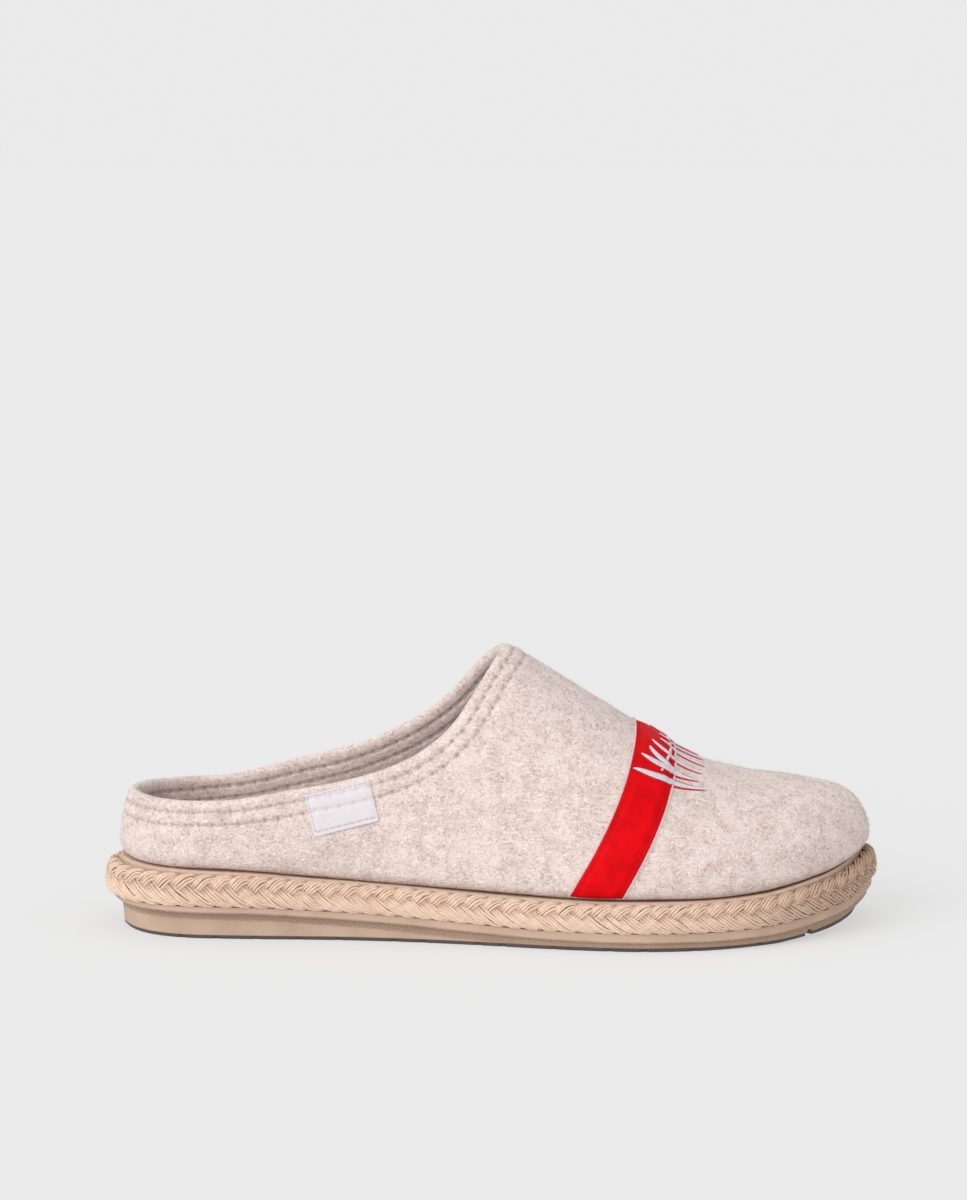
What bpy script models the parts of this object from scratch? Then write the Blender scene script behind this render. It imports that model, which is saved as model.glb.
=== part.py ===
"""A felt mule slipper for the right foot, on a rubber wedge sole edged with a plaited jute band.

Metres, +Z up, toe along +X, the outer side of the foot towards -Y. The origin lies on the floor, under the middle of
the sole. The tables give lengths as shares of the named sizes, from the heel (0) to the toe (1).
"""
import math

import bmesh
import bpy
import numpy as np
from mathutils import Matrix, Vector

MM = 0.001

# Overall sizes
LENGTH = 266 * MM
BALL_WIDTH = 97.5 * MM
HEEL_WIDTH = 68 * MM
TOE_SWING = 6 * MM
CLEARANCE = 0.3 * MM

# Rubber outsole: a wedge block set back under a lip
BLOCK_HEIGHT = 3.2 * MM
HEEL_WEDGE = 6.5 * MM
LIP_HEIGHT = 3.2 * MM
HEEL_LIP_THINNING = 1.0 * MM
LIP_INSET = 1.8 * MM
BLOCK_INSET = 3.4 * MM
HEEL_SETBACK = 2.4 * MM
BLOCK_TAPER = 0.8 * MM
HEEL_LIP_SETBACK = 1.2 * MM
EDGE_ROUND = 0.7 * MM
TOE_SPRING = 9.2 * MM
NOTCH_WIDTH = 2.4 * MM
NOTCH_DEPTH = 1.1 * MM
NOTCH_REACH = 5 * MM

# Jute band and the core behind it
BRAID_HEIGHT = 9.2 * MM
HEEL_BRAID = 1.5 * MM
BRAID_THICKNESS = 5.0 * MM
LOBE_COUNT = 108
BRAID_RELIEF = 0.8 * MM
BRAID_SLANT = 0.75
LEDGE_RISE = 1.8 * MM

# Felt upper
FELT_WALL = 3.0 * MM
COLLAR_WALL = 4.6 * MM
COLLAR_FOLD = 10 * MM
COLLAR_FADE = 4 * MM
FELT_INSET = 5.0 * MM
TOE_FELT_INSET = 2.0 * MM
TUCK = 1.8 * MM
TUCK_HEIGHT = 5 * MM
HEEL_WALL = 23.3 * MM
INSTEP_HEIGHT = 96.4 * MM
THROAT = 0.522
INNER_RISE = 5 * MM
THROAT_FOOT = 0.575
HEEL_FAN = 30 * MM
TOE_FAN = 22 * MM
FAN_REACH = 70 * MM

# Footbed, ribbon and tag
INSOLE_THICKNESS = 4.5 * MM
RIBBON_WIDTH = 15 * MM
RIBBON_THICKNESS = 0.8 * MM
RIBBON_TOP = 188.5 * MM
RIBBON_LEAN = 22 * MM
RIBBON_BOW = 1.33
RIBBON_LIFT = 1.4 * MM
RIBBON_EASE = 0.7
TAG_LENGTH = 22.5 * MM
TAG_HEIGHT = 14.2 * MM
TAG_THICKNESS = 0.6 * MM
TAG_PLACE = 81 * MM

# How finely each piece is divided
EDGE_STEPS = 40
COLLAR_STEPS = 8
SIDE_STATIONS = 54
COLLAR_STATIONS = 20
VAMP_STATIONS = 16
RIB_LEVELS = 12
TUCK_LEVELS = (0.0, 0.45, 1.0)
RIBBON_STATIONS = 44
RIBBON_TRIES = 30
FELT_TRIES = 6

# Plan of the sole's edge; each side is a share of half the width named in its row
EDGE_ROWS = (
    # along, outer side, inner side, width
    (0.030, 0.590, 0.590, HEEL_WIDTH),
    (0.094, 0.912, 0.912, HEEL_WIDTH),
    (0.188, 1.000, 0.985, HEEL_WIDTH),
    (0.320, 1.030, 0.970, HEEL_WIDTH),
    (0.451, 0.800, 0.745, BALL_WIDTH),
    (0.602, 0.964, 0.923, BALL_WIDTH),
    (0.703, 1.015, 0.985, BALL_WIDTH),
    (0.808, 0.923, 0.923, BALL_WIDTH),
    (0.902, 0.677, 0.780, BALL_WIDTH),
    (0.970, 0.308, 0.533, BALL_WIDTH),
)

# Side of the sole, as shares of HEEL_WEDGE, HEEL_LIP_THINNING, HEEL_LIP_SETBACK, TOE_SPRING, HEEL_BRAID and LEDGE_RISE
SOLE_SIDE = dict(zip(("along", "wedge", "thinning", "setback", "spring", "braid", "ledge"), zip(
    (0.000, 1.00, 1.25, 1.00, 0.00, 1.00, 1.00),
    (0.100, 1.00, 1.00, 0.00, 0.00, 0.87, 0.50),
    (0.190, 0.98, 0.90, 0.00, 0.00, 0.60, 0.32),
    (0.280, 0.80, 0.68, 0.00, 0.00, 0.13, 0.22),
    (0.380, 0.54, 0.42, 0.00, 0.00, 0.00, 0.12),
    (0.480, 0.22, 0.22, 0.00, 0.00, 0.00, 0.16),
    (0.575, 0.04, 0.10, 0.00, 0.00, 0.00, 0.24),
    (0.660, 0.00, 0.00, 0.00, 0.00, 0.00, 0.20),
    (0.750, 0.00, 0.00, 0.00, 0.00, 0.00, 0.24),
    (0.840, 0.00, 0.00, 0.00, 0.06, 0.00, 0.38),
    (0.910, 0.00, 0.00, 0.00, 0.30, 0.00, 0.60),
    (0.960, 0.00, 0.00, 0.00, 0.55, 0.00, 0.76),
    (0.986, 0.00, 0.00, 0.00, 0.85, 0.00, 0.80),
    (1.000, 0.00, 0.00, 0.00, 1.00, 0.00, 0.80),
)))

# Ridge of the last: its height as a share of INSTEP_HEIGHT, its swing as a share of TOE_SWING, and how square its
# ribs are, 2 being an ellipse
RIDGE_LINE = dict(zip(("along", "height", "swing", "squareness"), zip(
    (0.100, 0.74, 0.00, 2.00),
    (0.200, 0.82, 0.10, 2.00),
    (0.300, 0.93, 0.25, 2.00),
    (0.400, 1.01, 0.40, 2.00),
    (0.460, 1.035, 0.50, 2.00),
    (THROAT, 1.000, 0.60, 2.00),
    (0.562, 0.930, 0.65, 2.00),
    (0.613, 0.843, 0.68, 2.05),
    (0.665, 0.749, 0.70, 2.10),
    (0.717, 0.658, 0.75, 2.15),
    (0.768, 0.578, 0.80, 2.20),
    (0.820, 0.549, 0.85, 2.25),
    (0.871, 0.518, 0.95, 2.28),
    (0.910, 0.497, 1.00, 2.28),
)))

# Edge of the collar: its climb from HEEL_WALL (0) to the instep (1), and the inner side's extra as a share of INNER_RISE
COLLAR_ROWS = (
    # along, climb, extra
    (0.000, 0.000, 0.00),
    (0.070, 0.000, 0.00),
    (0.150, 0.018, 0.05),
    (0.200, 0.050, 0.25),
    (0.260, 0.125, 0.45),
    (0.320, 0.200, 0.65),
    (0.380, 0.313, 0.95),
    (0.420, 0.430, 1.10),
    (0.455, 0.590, 1.05),
    (0.480, 0.770, 0.75),
    (0.500, 0.900, 0.35),
    (0.515, 0.972, 0.08),
    (THROAT, 1.000, 0.00),
)

# Small cuts along the outsole's lower edge
NOTCH_PLACES = (0.10, 0.15, 0.20, 0.255, 0.305, 0.375, 0.41, 0.48, 0.51, 0.575, 0.645, 0.69, 0.755, 0.84, 0.91)

# Section of the jute band: out from its inner wall as a share of its thickness, up as a share of its height, and how
# much of the relief between strands reaches that point
BRAID_SECTION = (
    # out, up, relief
    (0.00, 0.03, 0.0),
    (0.48, 0.00, 0.4),
    (0.84, 0.16, 0.8),
    (1.00, 0.42, 1.0),
    (0.86, 0.64, 1.0),
    (0.74, 0.80, 1.0),
    (0.36, 0.99, 0.8),
    (0.00, 0.95, 0.0),
)
BRAID_VEE = 0.64


def eased(table, column, along):
    """Value of a table's column at a share of the length, eased between rows without overshoot."""
    knots, values = table["along"], table[column]
    along = min(max(along, knots[0]), knots[-1])
    first = min(int(np.searchsorted(knots, along, side="right")) - 1, len(knots) - 2)
    rises = np.diff(values) / np.diff(knots)

    def slope(index):
        if index in (0, len(knots) - 1):
            return rises[min(index, len(rises) - 1)]
        before, after = rises[index - 1], rises[index]
        return 0.0 if before * after <= 0 else 2 * before * after / (before + after)

    step = knots[first + 1] - knots[first]
    t = (along - knots[first]) / step
    start, end = values[first], values[first + 1]
    return ((1 + 2 * t) * (1 - t) ** 2 * start + t * (1 - t) ** 2 * step * slope(first)
            + t * t * (3 - 2 * t) * end + t * t * (t - 1) * step * slope(first + 1))


def smooth_line(points, steps):
    """Smooth curve through all but the first and last of the points, which only steer it."""
    points = [np.array(point, dtype=float) for point in points]
    line = []
    for before, start, end, after in zip(points, points[1:], points[2:], points[3:]):
        for t in np.arange(steps) / steps:
            line.append(0.5 * (2 * start + (end - before) * t + (2 * before - 5 * start + 4 * end - after) * t * t
                               + (3 * (start - end) + after - before) * t ** 3))
    line.append(points[-2])
    return np.array(line)


def distances(line):
    """Length of a line up to each of its points."""
    return np.concatenate(([0.0], np.cumsum(np.linalg.norm(np.diff(line, axis=0), axis=1))))


def edge_loop():
    """Plan of the sole's edge, once round: heel, outer side, toe, inner side and back to the heel."""
    outer = [(along * LENGTH, -side * width / 2) for along, side, _, width in EDGE_ROWS]
    inner = [(along * LENGTH, side * width / 2) for along, _, side, width in EDGE_ROWS]
    heel, toe = (0.0, 0.0), (LENGTH, TOE_SWING)
    loop = [heel] + outer + [toe] + inner[::-1]
    return smooth_line([loop[-1]] + loop + [heel, loop[1]], EDGE_STEPS)


EDGE = edge_loop()
EDGE_LENGTHS = distances(EDGE)
EDGE_TANGENTS = np.roll(EDGE[:-1], -1, axis=0) - np.roll(EDGE[:-1], 1, axis=0)
EDGE_NORMALS = np.column_stack((EDGE_TANGENTS[:, 1], -EDGE_TANGENTS[:, 0]))
EDGE_NORMALS /= np.linalg.norm(EDGE_NORMALS, axis=1)[:, None]
EDGE_NORMALS = np.vstack((EDGE_NORMALS, EDGE_NORMALS[:1]))
TOE_INDEX = int(np.argmax(EDGE[:, 0]))
HEEL_INDEX = int(np.argmin(EDGE[:-1, 0]))
ORIGIN = Vector(((EDGE[:, 0].max() + EDGE[:, 0].min()) / 2, (EDGE[:, 1].max() + EDGE[:, 1].min()) / 2, 0))


def edge_at(distance):
    """Point and outward direction of the sole's edge at a length along the loop."""
    distance %= EDGE_LENGTHS[-1]
    point = [float(np.interp(distance, EDGE_LENGTHS, EDGE[:, axis])) for axis in (0, 1)]
    normal = Vector([float(np.interp(distance, EDGE_LENGTHS, EDGE_NORMALS[:, axis])) for axis in (0, 1)])
    return Vector(point), normal.normalized()


def side_at(side, station):
    """Point and outward direction on one side (-1 outer, 1 inner), station 0 at the heel to 1 at the toe.

    Both sides have the same X at the same station, so what crosses the shoe runs straight across.
    """
    distance = station * EDGE_LENGTHS[TOE_INDEX]
    point, normal = edge_at(distance)
    if side < 0 or station in (0, 1):
        return point, normal
    back = slice(TOE_INDEX, len(EDGE))
    distance = float(np.interp(-point.x, -EDGE[back, 0], EDGE_LENGTHS[back]))
    return edge_at(distance)


def station_at(along):
    """Station of the outer side at a share of the length."""
    front = slice(HEEL_INDEX, TOE_INDEX + 1)
    return float(np.interp(along * LENGTH, EDGE[front, 0], EDGE_LENGTHS[front])) / EDGE_LENGTHS[TOE_INDEX]


def underside(along):
    return TOE_SPRING * eased(SOLE_SIDE, "spring", along)


def lip_base(along):
    return underside(along) + BLOCK_HEIGHT + HEEL_WEDGE * eased(SOLE_SIDE, "wedge", along)


def lip_top(along):
    return lip_base(along) + LIP_HEIGHT - HEEL_LIP_THINNING * eased(SOLE_SIDE, "thinning", along)


def braid_base(along):
    return lip_top(along) + CLEARANCE


def braid_height(along):
    return BRAID_HEIGHT + HEEL_BRAID * eased(SOLE_SIDE, "braid", along)


def feather(along):
    """Top of the core, on which the felt stands."""
    return braid_base(along) + braid_height(along) + LEDGE_RISE * eased(SOLE_SIDE, "ledge", along)


def felt_inset(along):
    """How far the felt's widest line stands in from the sole's edge."""
    return FELT_INSET + (TOE_FELT_INSET - FELT_INSET) * eased(SOLE_SIDE, "spring", along)


def ribbed_ring(inset, height, stations=SIDE_STATIONS):
    """Closed ring of points round the sole, at an inset and a height that may both change along it."""
    order = [(-1, i / stations) for i in range(stations + 1)]
    order += [(1, i / stations) for i in range(stations - 1, 0, -1)]
    ring = []
    for side, station in order:
        point, normal = side_at(side, station)
        along = point.x / LENGTH
        ring.append((point - normal * inset(along)).to_3d() + Vector((0, 0, height(along))))
    return ring


def add_rings(bm, rings):
    """Walls between successive rings, each a closed loop of as many points. Returns the rings' vertices."""
    loops = [[bm.verts.new(point) for point in ring] for ring in rings]
    for lower, upper in zip(loops, loops[1:]):
        for i in range(len(lower)):
            j = (i + 1) % len(lower)
            bm.faces.new((lower[i], lower[j], upper[j], upper[i]))
    return loops


def add_deck(bm, loop, facing_up):
    """Closes a ring with strips that run straight across from side to side."""
    half = len(loop) // 2
    for i in range(half):
        outer, outer_next = loop[i], loop[i + 1]
        inner, inner_next = loop[-i % len(loop)], loop[-(i + 1) % len(loop)]
        strip = [outer, outer_next, inner_next, inner]
        strip = [vert for n, vert in enumerate(strip) if vert not in strip[:n]]
        bm.faces.new(strip if facing_up else strip[::-1])


def finished(name, bm, material):
    """Object from a bmesh that was modelled from the heel, moved to stand over the origin."""
    bmesh.ops.translate(bm, verts=bm.verts, vec=-ORIGIN)
    bmesh.ops.recalc_face_normals(bm, faces=bm.faces)
    bmesh.ops.triangulate(bm, faces=bm.faces)
    mesh = bpy.data.meshes.new(name)
    bm.to_mesh(mesh)
    bm.free()
    mesh.materials.append(material)
    mesh.shade_smooth()
    mesh.set_sharp_from_angle(angle=math.radians(40))
    piece = bpy.data.objects.new(name, mesh)
    bpy.data.collections["Slipper"].objects.link(piece)
    return piece


def material(name, colour, roughness):
    result = bpy.data.materials.new(name)
    result.use_nodes = True
    shader = result.node_tree.nodes["Principled BSDF"]
    shader.inputs["Base Color"].default_value = (*colour, 1)
    shader.inputs["Roughness"].default_value = roughness
    shader.inputs["Metallic"].default_value = 0
    return result


def solid_between(name, rings, finish):
    """Solid with decks across its lowest and highest rings."""
    bm = bmesh.new()
    loops = add_rings(bm, rings)
    add_deck(bm, loops[0], facing_up=False)
    add_deck(bm, loops[-1], facing_up=True)
    return finished(name, bm, finish)


def lip_inset(along):
    """The lip stands further in round the back of the heel."""
    return LIP_INSET + HEEL_LIP_SETBACK * eased(SOLE_SIDE, "setback", along)


def block_inset(along):
    return BLOCK_INSET + HEEL_SETBACK * eased(SOLE_SIDE, "wedge", along)


def block_foot_inset(along):
    return block_inset(along) + BLOCK_TAPER * eased(SOLE_SIDE, "wedge", along)


def notch_cutter():
    """Small blocks across the lower edge of the outsole, on both sides."""
    bm = bmesh.new()
    for place in NOTCH_PLACES:
        for side in (-1, 1):
            point, normal = side_at(side, station_at(place))
            foot = point - normal * block_foot_inset(place)
            centre = foot.to_3d() + Vector((0, 0, underside(place))) - ORIGIN
            turn = Matrix.Rotation(math.atan2(normal.y, normal.x), 4, "Z")
            size = Matrix.Diagonal((2 * NOTCH_REACH, NOTCH_WIDTH, 2 * NOTCH_DEPTH, 1))
            bmesh.ops.create_cube(bm, size=1, matrix=Matrix.Translation(centre) @ turn @ size)
    mesh = bpy.data.meshes.new("notch_cutter")
    bm.to_mesh(mesh)
    bm.free()
    cutter = bpy.data.objects.new("notch_cutter", mesh)
    cutter.hide_render = True
    cutter.display_type = "WIRE"
    bpy.data.collections["Cutters"].objects.link(cutter)
    return cutter


def outsole(rubber):
    """Wedge block with a rounded lower edge, and the lip that stands out over it under the jute band."""
    rings = (
        ribbed_ring(lambda along: block_foot_inset(along) + EDGE_ROUND, underside),
        ribbed_ring(block_foot_inset, lambda along: underside(along) + EDGE_ROUND),
        ribbed_ring(block_inset, lambda along: lip_base(along) - CLEARANCE),
        ribbed_ring(lambda along: lip_inset(along) + EDGE_ROUND, lip_base),
        ribbed_ring(lip_inset, lambda along: lip_base(along) + EDGE_ROUND),
        ribbed_ring(lambda along: lip_inset(along) + CLEARANCE, lip_top),
    )
    piece = solid_between("outsole", rings, rubber)
    cut = piece.modifiers.new("Edge notches", "BOOLEAN")
    cut.operation = "DIFFERENCE"
    cut.object = notch_cutter()
    return piece


def core_inset(along):
    return BRAID_THICKNESS + CLEARANCE


def midsole(board):
    """Core that the jute band is glued round; its rounded top edge shows below the felt."""
    rings = (
        ribbed_ring(core_inset, braid_base),
        ribbed_ring(core_inset, lambda along: feather(along) - EDGE_ROUND),
        ribbed_ring(lambda along: core_inset(along) + EDGE_ROUND, feather),
    )
    return solid_between("midsole", rings, board)


def jute_braid(jute):
    """Plaited band, one ring: strands slant away on both sides of its vee line and stand out as rounded strips."""
    bm = bmesh.new()
    stations = 2 * LOBE_COUNT
    pitch = EDGE_LENGTHS[-1] / stations
    loops = []
    for out, up, relief in BRAID_SECTION:
        lean = BRAID_SLANT * abs(up - BRAID_VEE) * BRAID_HEIGHT * (1 if relief else 0)
        loop = []
        for i in range(stations):
            point, normal = edge_at(i * pitch + lean)
            along = point.x / LENGTH
            sunk = BRAID_RELIEF * relief * (i % 2)
            inset = BRAID_THICKNESS * (1 - out) + sunk
            height = braid_base(along) + up * braid_height(along)
            loop.append(bm.verts.new((point - normal * inset).to_3d() + Vector((0, 0, height))))
        loops.append(loop)
    for lower, upper in zip(loops, loops[1:] + loops[:1]):
        for i in range(stations):
            j = (i + 1) % stations
            bm.faces.new((lower[i], lower[j], upper[j], upper[i]))
    return finished("jute_braid", bm, jute)


def rib(side, station):
    """Foot of a rib of the last, the direction out of the shoe there, and the ridge point that it climbs to."""
    point, normal = side_at(side, station)
    along = point.x / LENGTH
    foot = (point - normal * felt_inset(along)).to_3d() + Vector((0, 0, feather(along) + CLEARANCE))
    heel_pull = max(0.0, 1 - point.x / FAN_REACH)
    toe_pull = max(0.0, 1 - (LENGTH - point.x) / FAN_REACH)
    ridge_x = point.x + HEEL_FAN * heel_pull ** 2 - TOE_FAN * toe_pull ** 2
    share = ridge_x / LENGTH
    height = INSTEP_HEIGHT * eased(RIDGE_LINE, "height", share)
    ridge = Vector((ridge_x, TOE_SWING * eased(RIDGE_LINE, "swing", share), height))
    return foot, normal.to_3d(), ridge, eased(RIDGE_LINE, "squareness", share)


def felt_point(side, station, climb):
    """Point on the felt's outer face: climb goes up a rib from the feather (0) to the ridge (1) and down beyond it."""
    if station < 0:
        side, station = -side, -station
    if station > 1:
        side, station = -side, 2 - station
    if climb > 1:
        side, climb = -side, 2 - climb
    foot, normal, ridge, square = rib(side, station)
    angle = max(climb, 0.0) * math.pi / 2
    across = 1 - max(math.cos(angle), 0.0) ** (2 / square)
    up = max(math.sin(angle), 0.0) ** (2 / square)
    point = foot + (ridge - foot) * across
    point.z = foot.z + (ridge.z - foot.z) * up
    low = max(0.0, 1 - (point.z - foot.z) / TUCK_HEIGHT)
    return point - normal * TUCK * low ** 2


def climb_for(side, station, rise):
    """How far up its rib the felt stands at a given height above its foot."""
    foot, _, ridge, square = rib(side, station)
    share = min(max(rise / (ridge.z - foot.z), 0.0), 1.0)
    return math.asin(share ** (square / 2)) * 2 / math.pi


def felt_normal(side, station, climb):
    """Direction straight out of the felt."""
    step = 0.004
    lower, higher = max(climb - step, 0.0), climb + step
    along = felt_point(side, station + step, climb) - felt_point(side, station - step, climb)
    up = felt_point(side, station, higher) - felt_point(side, station, lower)
    return (along.cross(up) * -side).normalized()


def collar_line(side):
    """Collar's edge on one side, as stations and climbs, from the back of the heel to the throat."""
    second, last = COLLAR_ROWS[1], COLLAR_ROWS[-2]
    rows = [(-second[0], *second[1:])] + list(COLLAR_ROWS) + [(last[0], 2 - last[1], last[2])]
    full_rise = INSTEP_HEIGHT - feather(THROAT) - CLEARANCE
    line = []
    for along, share, extra in smooth_line(rows, COLLAR_STEPS):
        station = station_at(max(along, 0.0))
        lip = COLLAR_WALL / 2 * (1 - max(share, 0) ** 4)
        rise = HEEL_WALL + (full_rise - HEEL_WALL) * share - lip + INNER_RISE * extra * (side > 0)
        line.append((station, climb_for(side, station, rise)))
    line[-1] = (station_at(THROAT), 1.0)
    return line


def rib_columns(side):
    """For each column of the felt's grid: its stations at the foot and at the top, and the climb at its top."""
    line = collar_line(side)
    lengths = distances(np.array([felt_point(side, station, climb) for station, climb in line]))
    throat_foot = station_at(THROAT_FOOT)
    columns = []
    for i in range(COLLAR_STATIONS + 1):
        share = i / COLLAR_STATIONS
        station, climb = (float(np.interp(share * lengths[-1], lengths, [row[n] for row in line])) for n in (0, 1))
        columns.append((share * throat_foot, station, climb))
    throat = columns[-1][1]
    for i in range(1, VAMP_STATIONS + 1):
        share = i / VAMP_STATIONS
        columns.append((throat_foot + (1 - throat_foot) * share, throat + (1 - throat) * share, 1.0))
    return columns


def column_levels(side, column):
    """Grid points of one column as stations and climbs: two low ones for the tucked edge, then even steps."""
    foot_station, top_station, top_climb = column
    low = [climb_for(side, foot_station, share * TUCK_HEIGHT) for share in TUCK_LEVELS]
    climbs = low + list(np.linspace(low[-1], top_climb, RIB_LEVELS - 1)[1:])
    return [(foot_station + (top_station - foot_station) * climb / top_climb, climb) for climb in climbs]


def upper(felt):
    """Hollow felt shell with a thicker folded collar, open at the collar and underneath."""
    bm = bmesh.new()
    columns = {side: rib_columns(side) for side in (-1, 1)}
    last = COLLAR_STATIONS + VAMP_STATIONS
    top = RIB_LEVELS
    throat = COLLAR_STATIONS
    collar = [felt_point(side, *columns[side][i][1:]) for side in (-1, 1) for i in range(throat + 1)]
    outer, inner, lips = {}, {}, {}

    def shared(side, i, level):
        return (-1 if i in (0, last) or (level == top and i >= throat) else side, i, level)

    for side in (-1, 1):
        for i, column in enumerate(columns[side]):
            for level, (station, climb) in enumerate(column_levels(side, column)):
                key = shared(side, i, level)
                if key in outer:
                    continue
                point = felt_point(side, station, climb)
                normal = felt_normal(side, station, climb)
                away = min((point - spot).length for spot in collar)
                fold = min(max((COLLAR_FOLD - away) / COLLAR_FADE + 0.5, 0.0), 1.0)
                wall = FELT_WALL + (COLLAR_WALL - FELT_WALL) * fold * fold * (3 - 2 * fold)
                if level == 0:
                    normal = rib(side, station)[1]
                outer[key] = bm.verts.new(point)
                inner[key] = bm.verts.new(point - normal * wall)

    def edge_spot(side, i):
        if i < 0:
            side, i = -side, -i
        if i > throat:
            side, i = -side, 2 * throat - i
        return felt_point(side, *columns[side][i][1:])

    for side in (-1, 1):
        for i in range(throat + 1):
            key = shared(side, i, top)
            if key in lips:
                continue
            normal = felt_normal(side, *columns[side][i][1:])
            run = edge_spot(side, i + 1) - edge_spot(side, i - 1)
            out = (run.cross(normal) * side).normalized()
            start, end = outer[key].co, inner[key].co
            middle, radius = (start + end) / 2, (start - end).length / 2
            turns = [math.pi * step / 4 for step in (1, 2, 3)]
            lips[key] = [bm.verts.new(middle + (normal * math.cos(turn) + out * math.sin(turn)) * radius)
                         for turn in turns]

    for side in (-1, 1):
        for i in range(last):
            for level in range(top):
                corners = [shared(side, i, level), shared(side, i + 1, level),
                           shared(side, i + 1, level + 1), shared(side, i, level + 1)]
                bm.faces.new([outer[key] for key in corners])
                bm.faces.new([inner[key] for key in corners])
            start, end = shared(side, i, 0), shared(side, i + 1, 0)
            bm.faces.new((outer[start], outer[end], inner[end], inner[start]))
        for i in range(throat):
            start, end = shared(side, i, top), shared(side, i + 1, top)
            for near, far in zip([outer[start], *lips[start], inner[start]], zip(
                    [*lips[start], inner[start]], [outer[end], *lips[end]], [*lips[end], inner[end]])):
                bm.faces.new((near, far[0], far[2], far[1]))
    return finished("upper", bm, felt)


def on_felt(target, side, station, climb):
    """Station and climb of the point of the felt nearest to a target, from a first guess."""
    step = 0.003
    for _ in range(FELT_TRIES):
        here = felt_point(side, station, climb)
        by_station = (felt_point(side, station + step, climb) - felt_point(side, station - step, climb)) / (2 * step)
        by_climb = (felt_point(side, station, climb + step) - felt_point(side, station, climb - step)) / (2 * step)
        slopes = np.column_stack((by_station, by_climb))
        move = np.linalg.lstsq(slopes, np.array(target - here), rcond=None)[0]
        station += float(move[0])
        climb += float(move[1])
    return station, climb


def laid_on_felt(name, rows, thickness, finish):
    """Thin flat piece that follows the felt a clearance away; rows are lists of side, station and climb."""
    bm = bmesh.new()
    near, far = [], []
    for row in rows:
        spots = [(felt_point(*spot), felt_normal(*spot)) for spot in row]
        near.append([bm.verts.new(point + normal * CLEARANCE) for point, normal in spots])
        far.append([bm.verts.new(point + normal * (CLEARANCE + thickness)) for point, normal in spots])
    for face_rows in (near, far):
        for row, after in zip(face_rows, face_rows[1:]):
            for i in range(len(row) - 1):
                bm.faces.new((row[i], row[i + 1], after[i + 1], after[i]))
    around = [(row, 0) for row in range(len(rows))]
    around += [(len(rows) - 1, i) for i in range(1, len(rows[0]))]
    around += [(row, len(rows[0]) - 1) for row in range(len(rows) - 2, -1, -1)]
    around += [(0, i) for i in range(len(rows[0]) - 2, 0, -1)]
    for (row, i), (next_row, next_i) in zip(around, around[1:] + around[:1]):
        bm.faces.new((near[row][i], near[next_row][next_i], far[next_row][next_i], far[row][i]))
    return finished(name, bm, finish)


def ribbon_middle(side, climb):
    """Station of the ribbon's middle line at a climb: it leans back towards the heel on its way down."""
    top = felt_point(-1, station_at(RIBBON_TOP / LENGTH), 1.0)
    station = station_at(RIBBON_TOP / LENGTH)
    for _ in range(RIBBON_TRIES):
        point = felt_point(side, station, climb)
        foot = feather(point.x / LENGTH)
        drop = min(max((top.z - point.z) / (top.z - foot), 0.0), 1.0)
        wanted = RIBBON_TOP - RIBBON_LEAN * drop ** RIBBON_BOW
        station += (wanted - point.x) / LENGTH * RIBBON_EASE
    return station


def instep_ribbon(satin):
    """Ribbon sewn over the vamp, from the core's edge on one side to the other."""
    low = climb_for(-1, station_at((RIBBON_TOP - RIBBON_LEAN) / LENGTH), RIBBON_LIFT)
    climbs = np.linspace(low, 2 - low, RIBBON_STATIONS + 1)
    middle = []
    for climb in climbs:
        side, near_climb = (-1, climb) if climb <= 1 else (1, 2 - climb)
        middle.append((side, ribbon_middle(side, near_climb), near_climb))
    spots = [felt_point(*spot) for spot in middle]
    rows = []
    for i, (side, station, climb) in enumerate(middle):
        step = 0.004
        run = (spots[min(i + 1, RIBBON_STATIONS)] - spots[max(i - 1, 0)]).normalized()
        ahead = (felt_point(side, station + step, climb) - felt_point(side, station - step, climb)) / (2 * step)
        reach = RIBBON_WIDTH / (ahead - run * ahead.dot(run)).length
        rows.append([(side, station + share * reach, climb) for share in (-0.5, -0.25, 0.0, 0.25, 0.5)])
    return laid_on_felt("instep_ribbon", rows, RIBBON_THICKNESS, satin)


def side_tag(satin):
    """Small tag sewn flat to the outer side, its upper edge along the collar."""
    line = collar_line(-1)
    places = [felt_point(-1, station, climb).x for station, climb in line]
    station, climb = (float(np.interp(TAG_PLACE, places, [row[n] for row in line])) for n in (0, 1))
    corner = felt_point(-1, station, climb)
    ahead = [float(np.interp(TAG_PLACE + TAG_LENGTH / 2, places, [row[n] for row in line])) for n in (0, 1)]
    run = (felt_point(-1, *ahead) - corner).normalized()
    down = run.cross(felt_normal(-1, station, climb)).normalized()
    if down.z > 0:
        down.negate()
    rows = []
    for share in (0.0, 0.34, 0.67, 1.0):
        row = []
        for place in (-0.5, -0.25, 0.0, 0.25, 0.5):
            target = corner + run * place * TAG_LENGTH + down * share * TAG_HEIGHT
            row.append((-1, *on_felt(target, -1, station, climb)))
        rows.append(row)
    return laid_on_felt("side_tag", rows, TAG_THICKNESS, satin)


def insole(felt):
    """Felt footbed that fills the bottom of the shell."""
    def inset(along):
        return felt_inset(along) + TUCK + FELT_WALL + CLEARANCE

    def base(along):
        return feather(along) + CLEARANCE

    rings = (
        ribbed_ring(inset, base),
        ribbed_ring(inset, lambda along: base(along) + INSOLE_THICKNESS - EDGE_ROUND),
        ribbed_ring(lambda along: inset(along) + EDGE_ROUND, lambda along: base(along) + INSOLE_THICKNESS),
    )
    return solid_between("insole", rings, felt)


for old in list(bpy.data.objects):
    bpy.data.objects.remove(old, do_unlink=True)
for collection_name in ("Slipper", "Cutters"):
    collection = bpy.data.collections.new(collection_name)
    bpy.context.scene.collection.children.link(collection)

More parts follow.
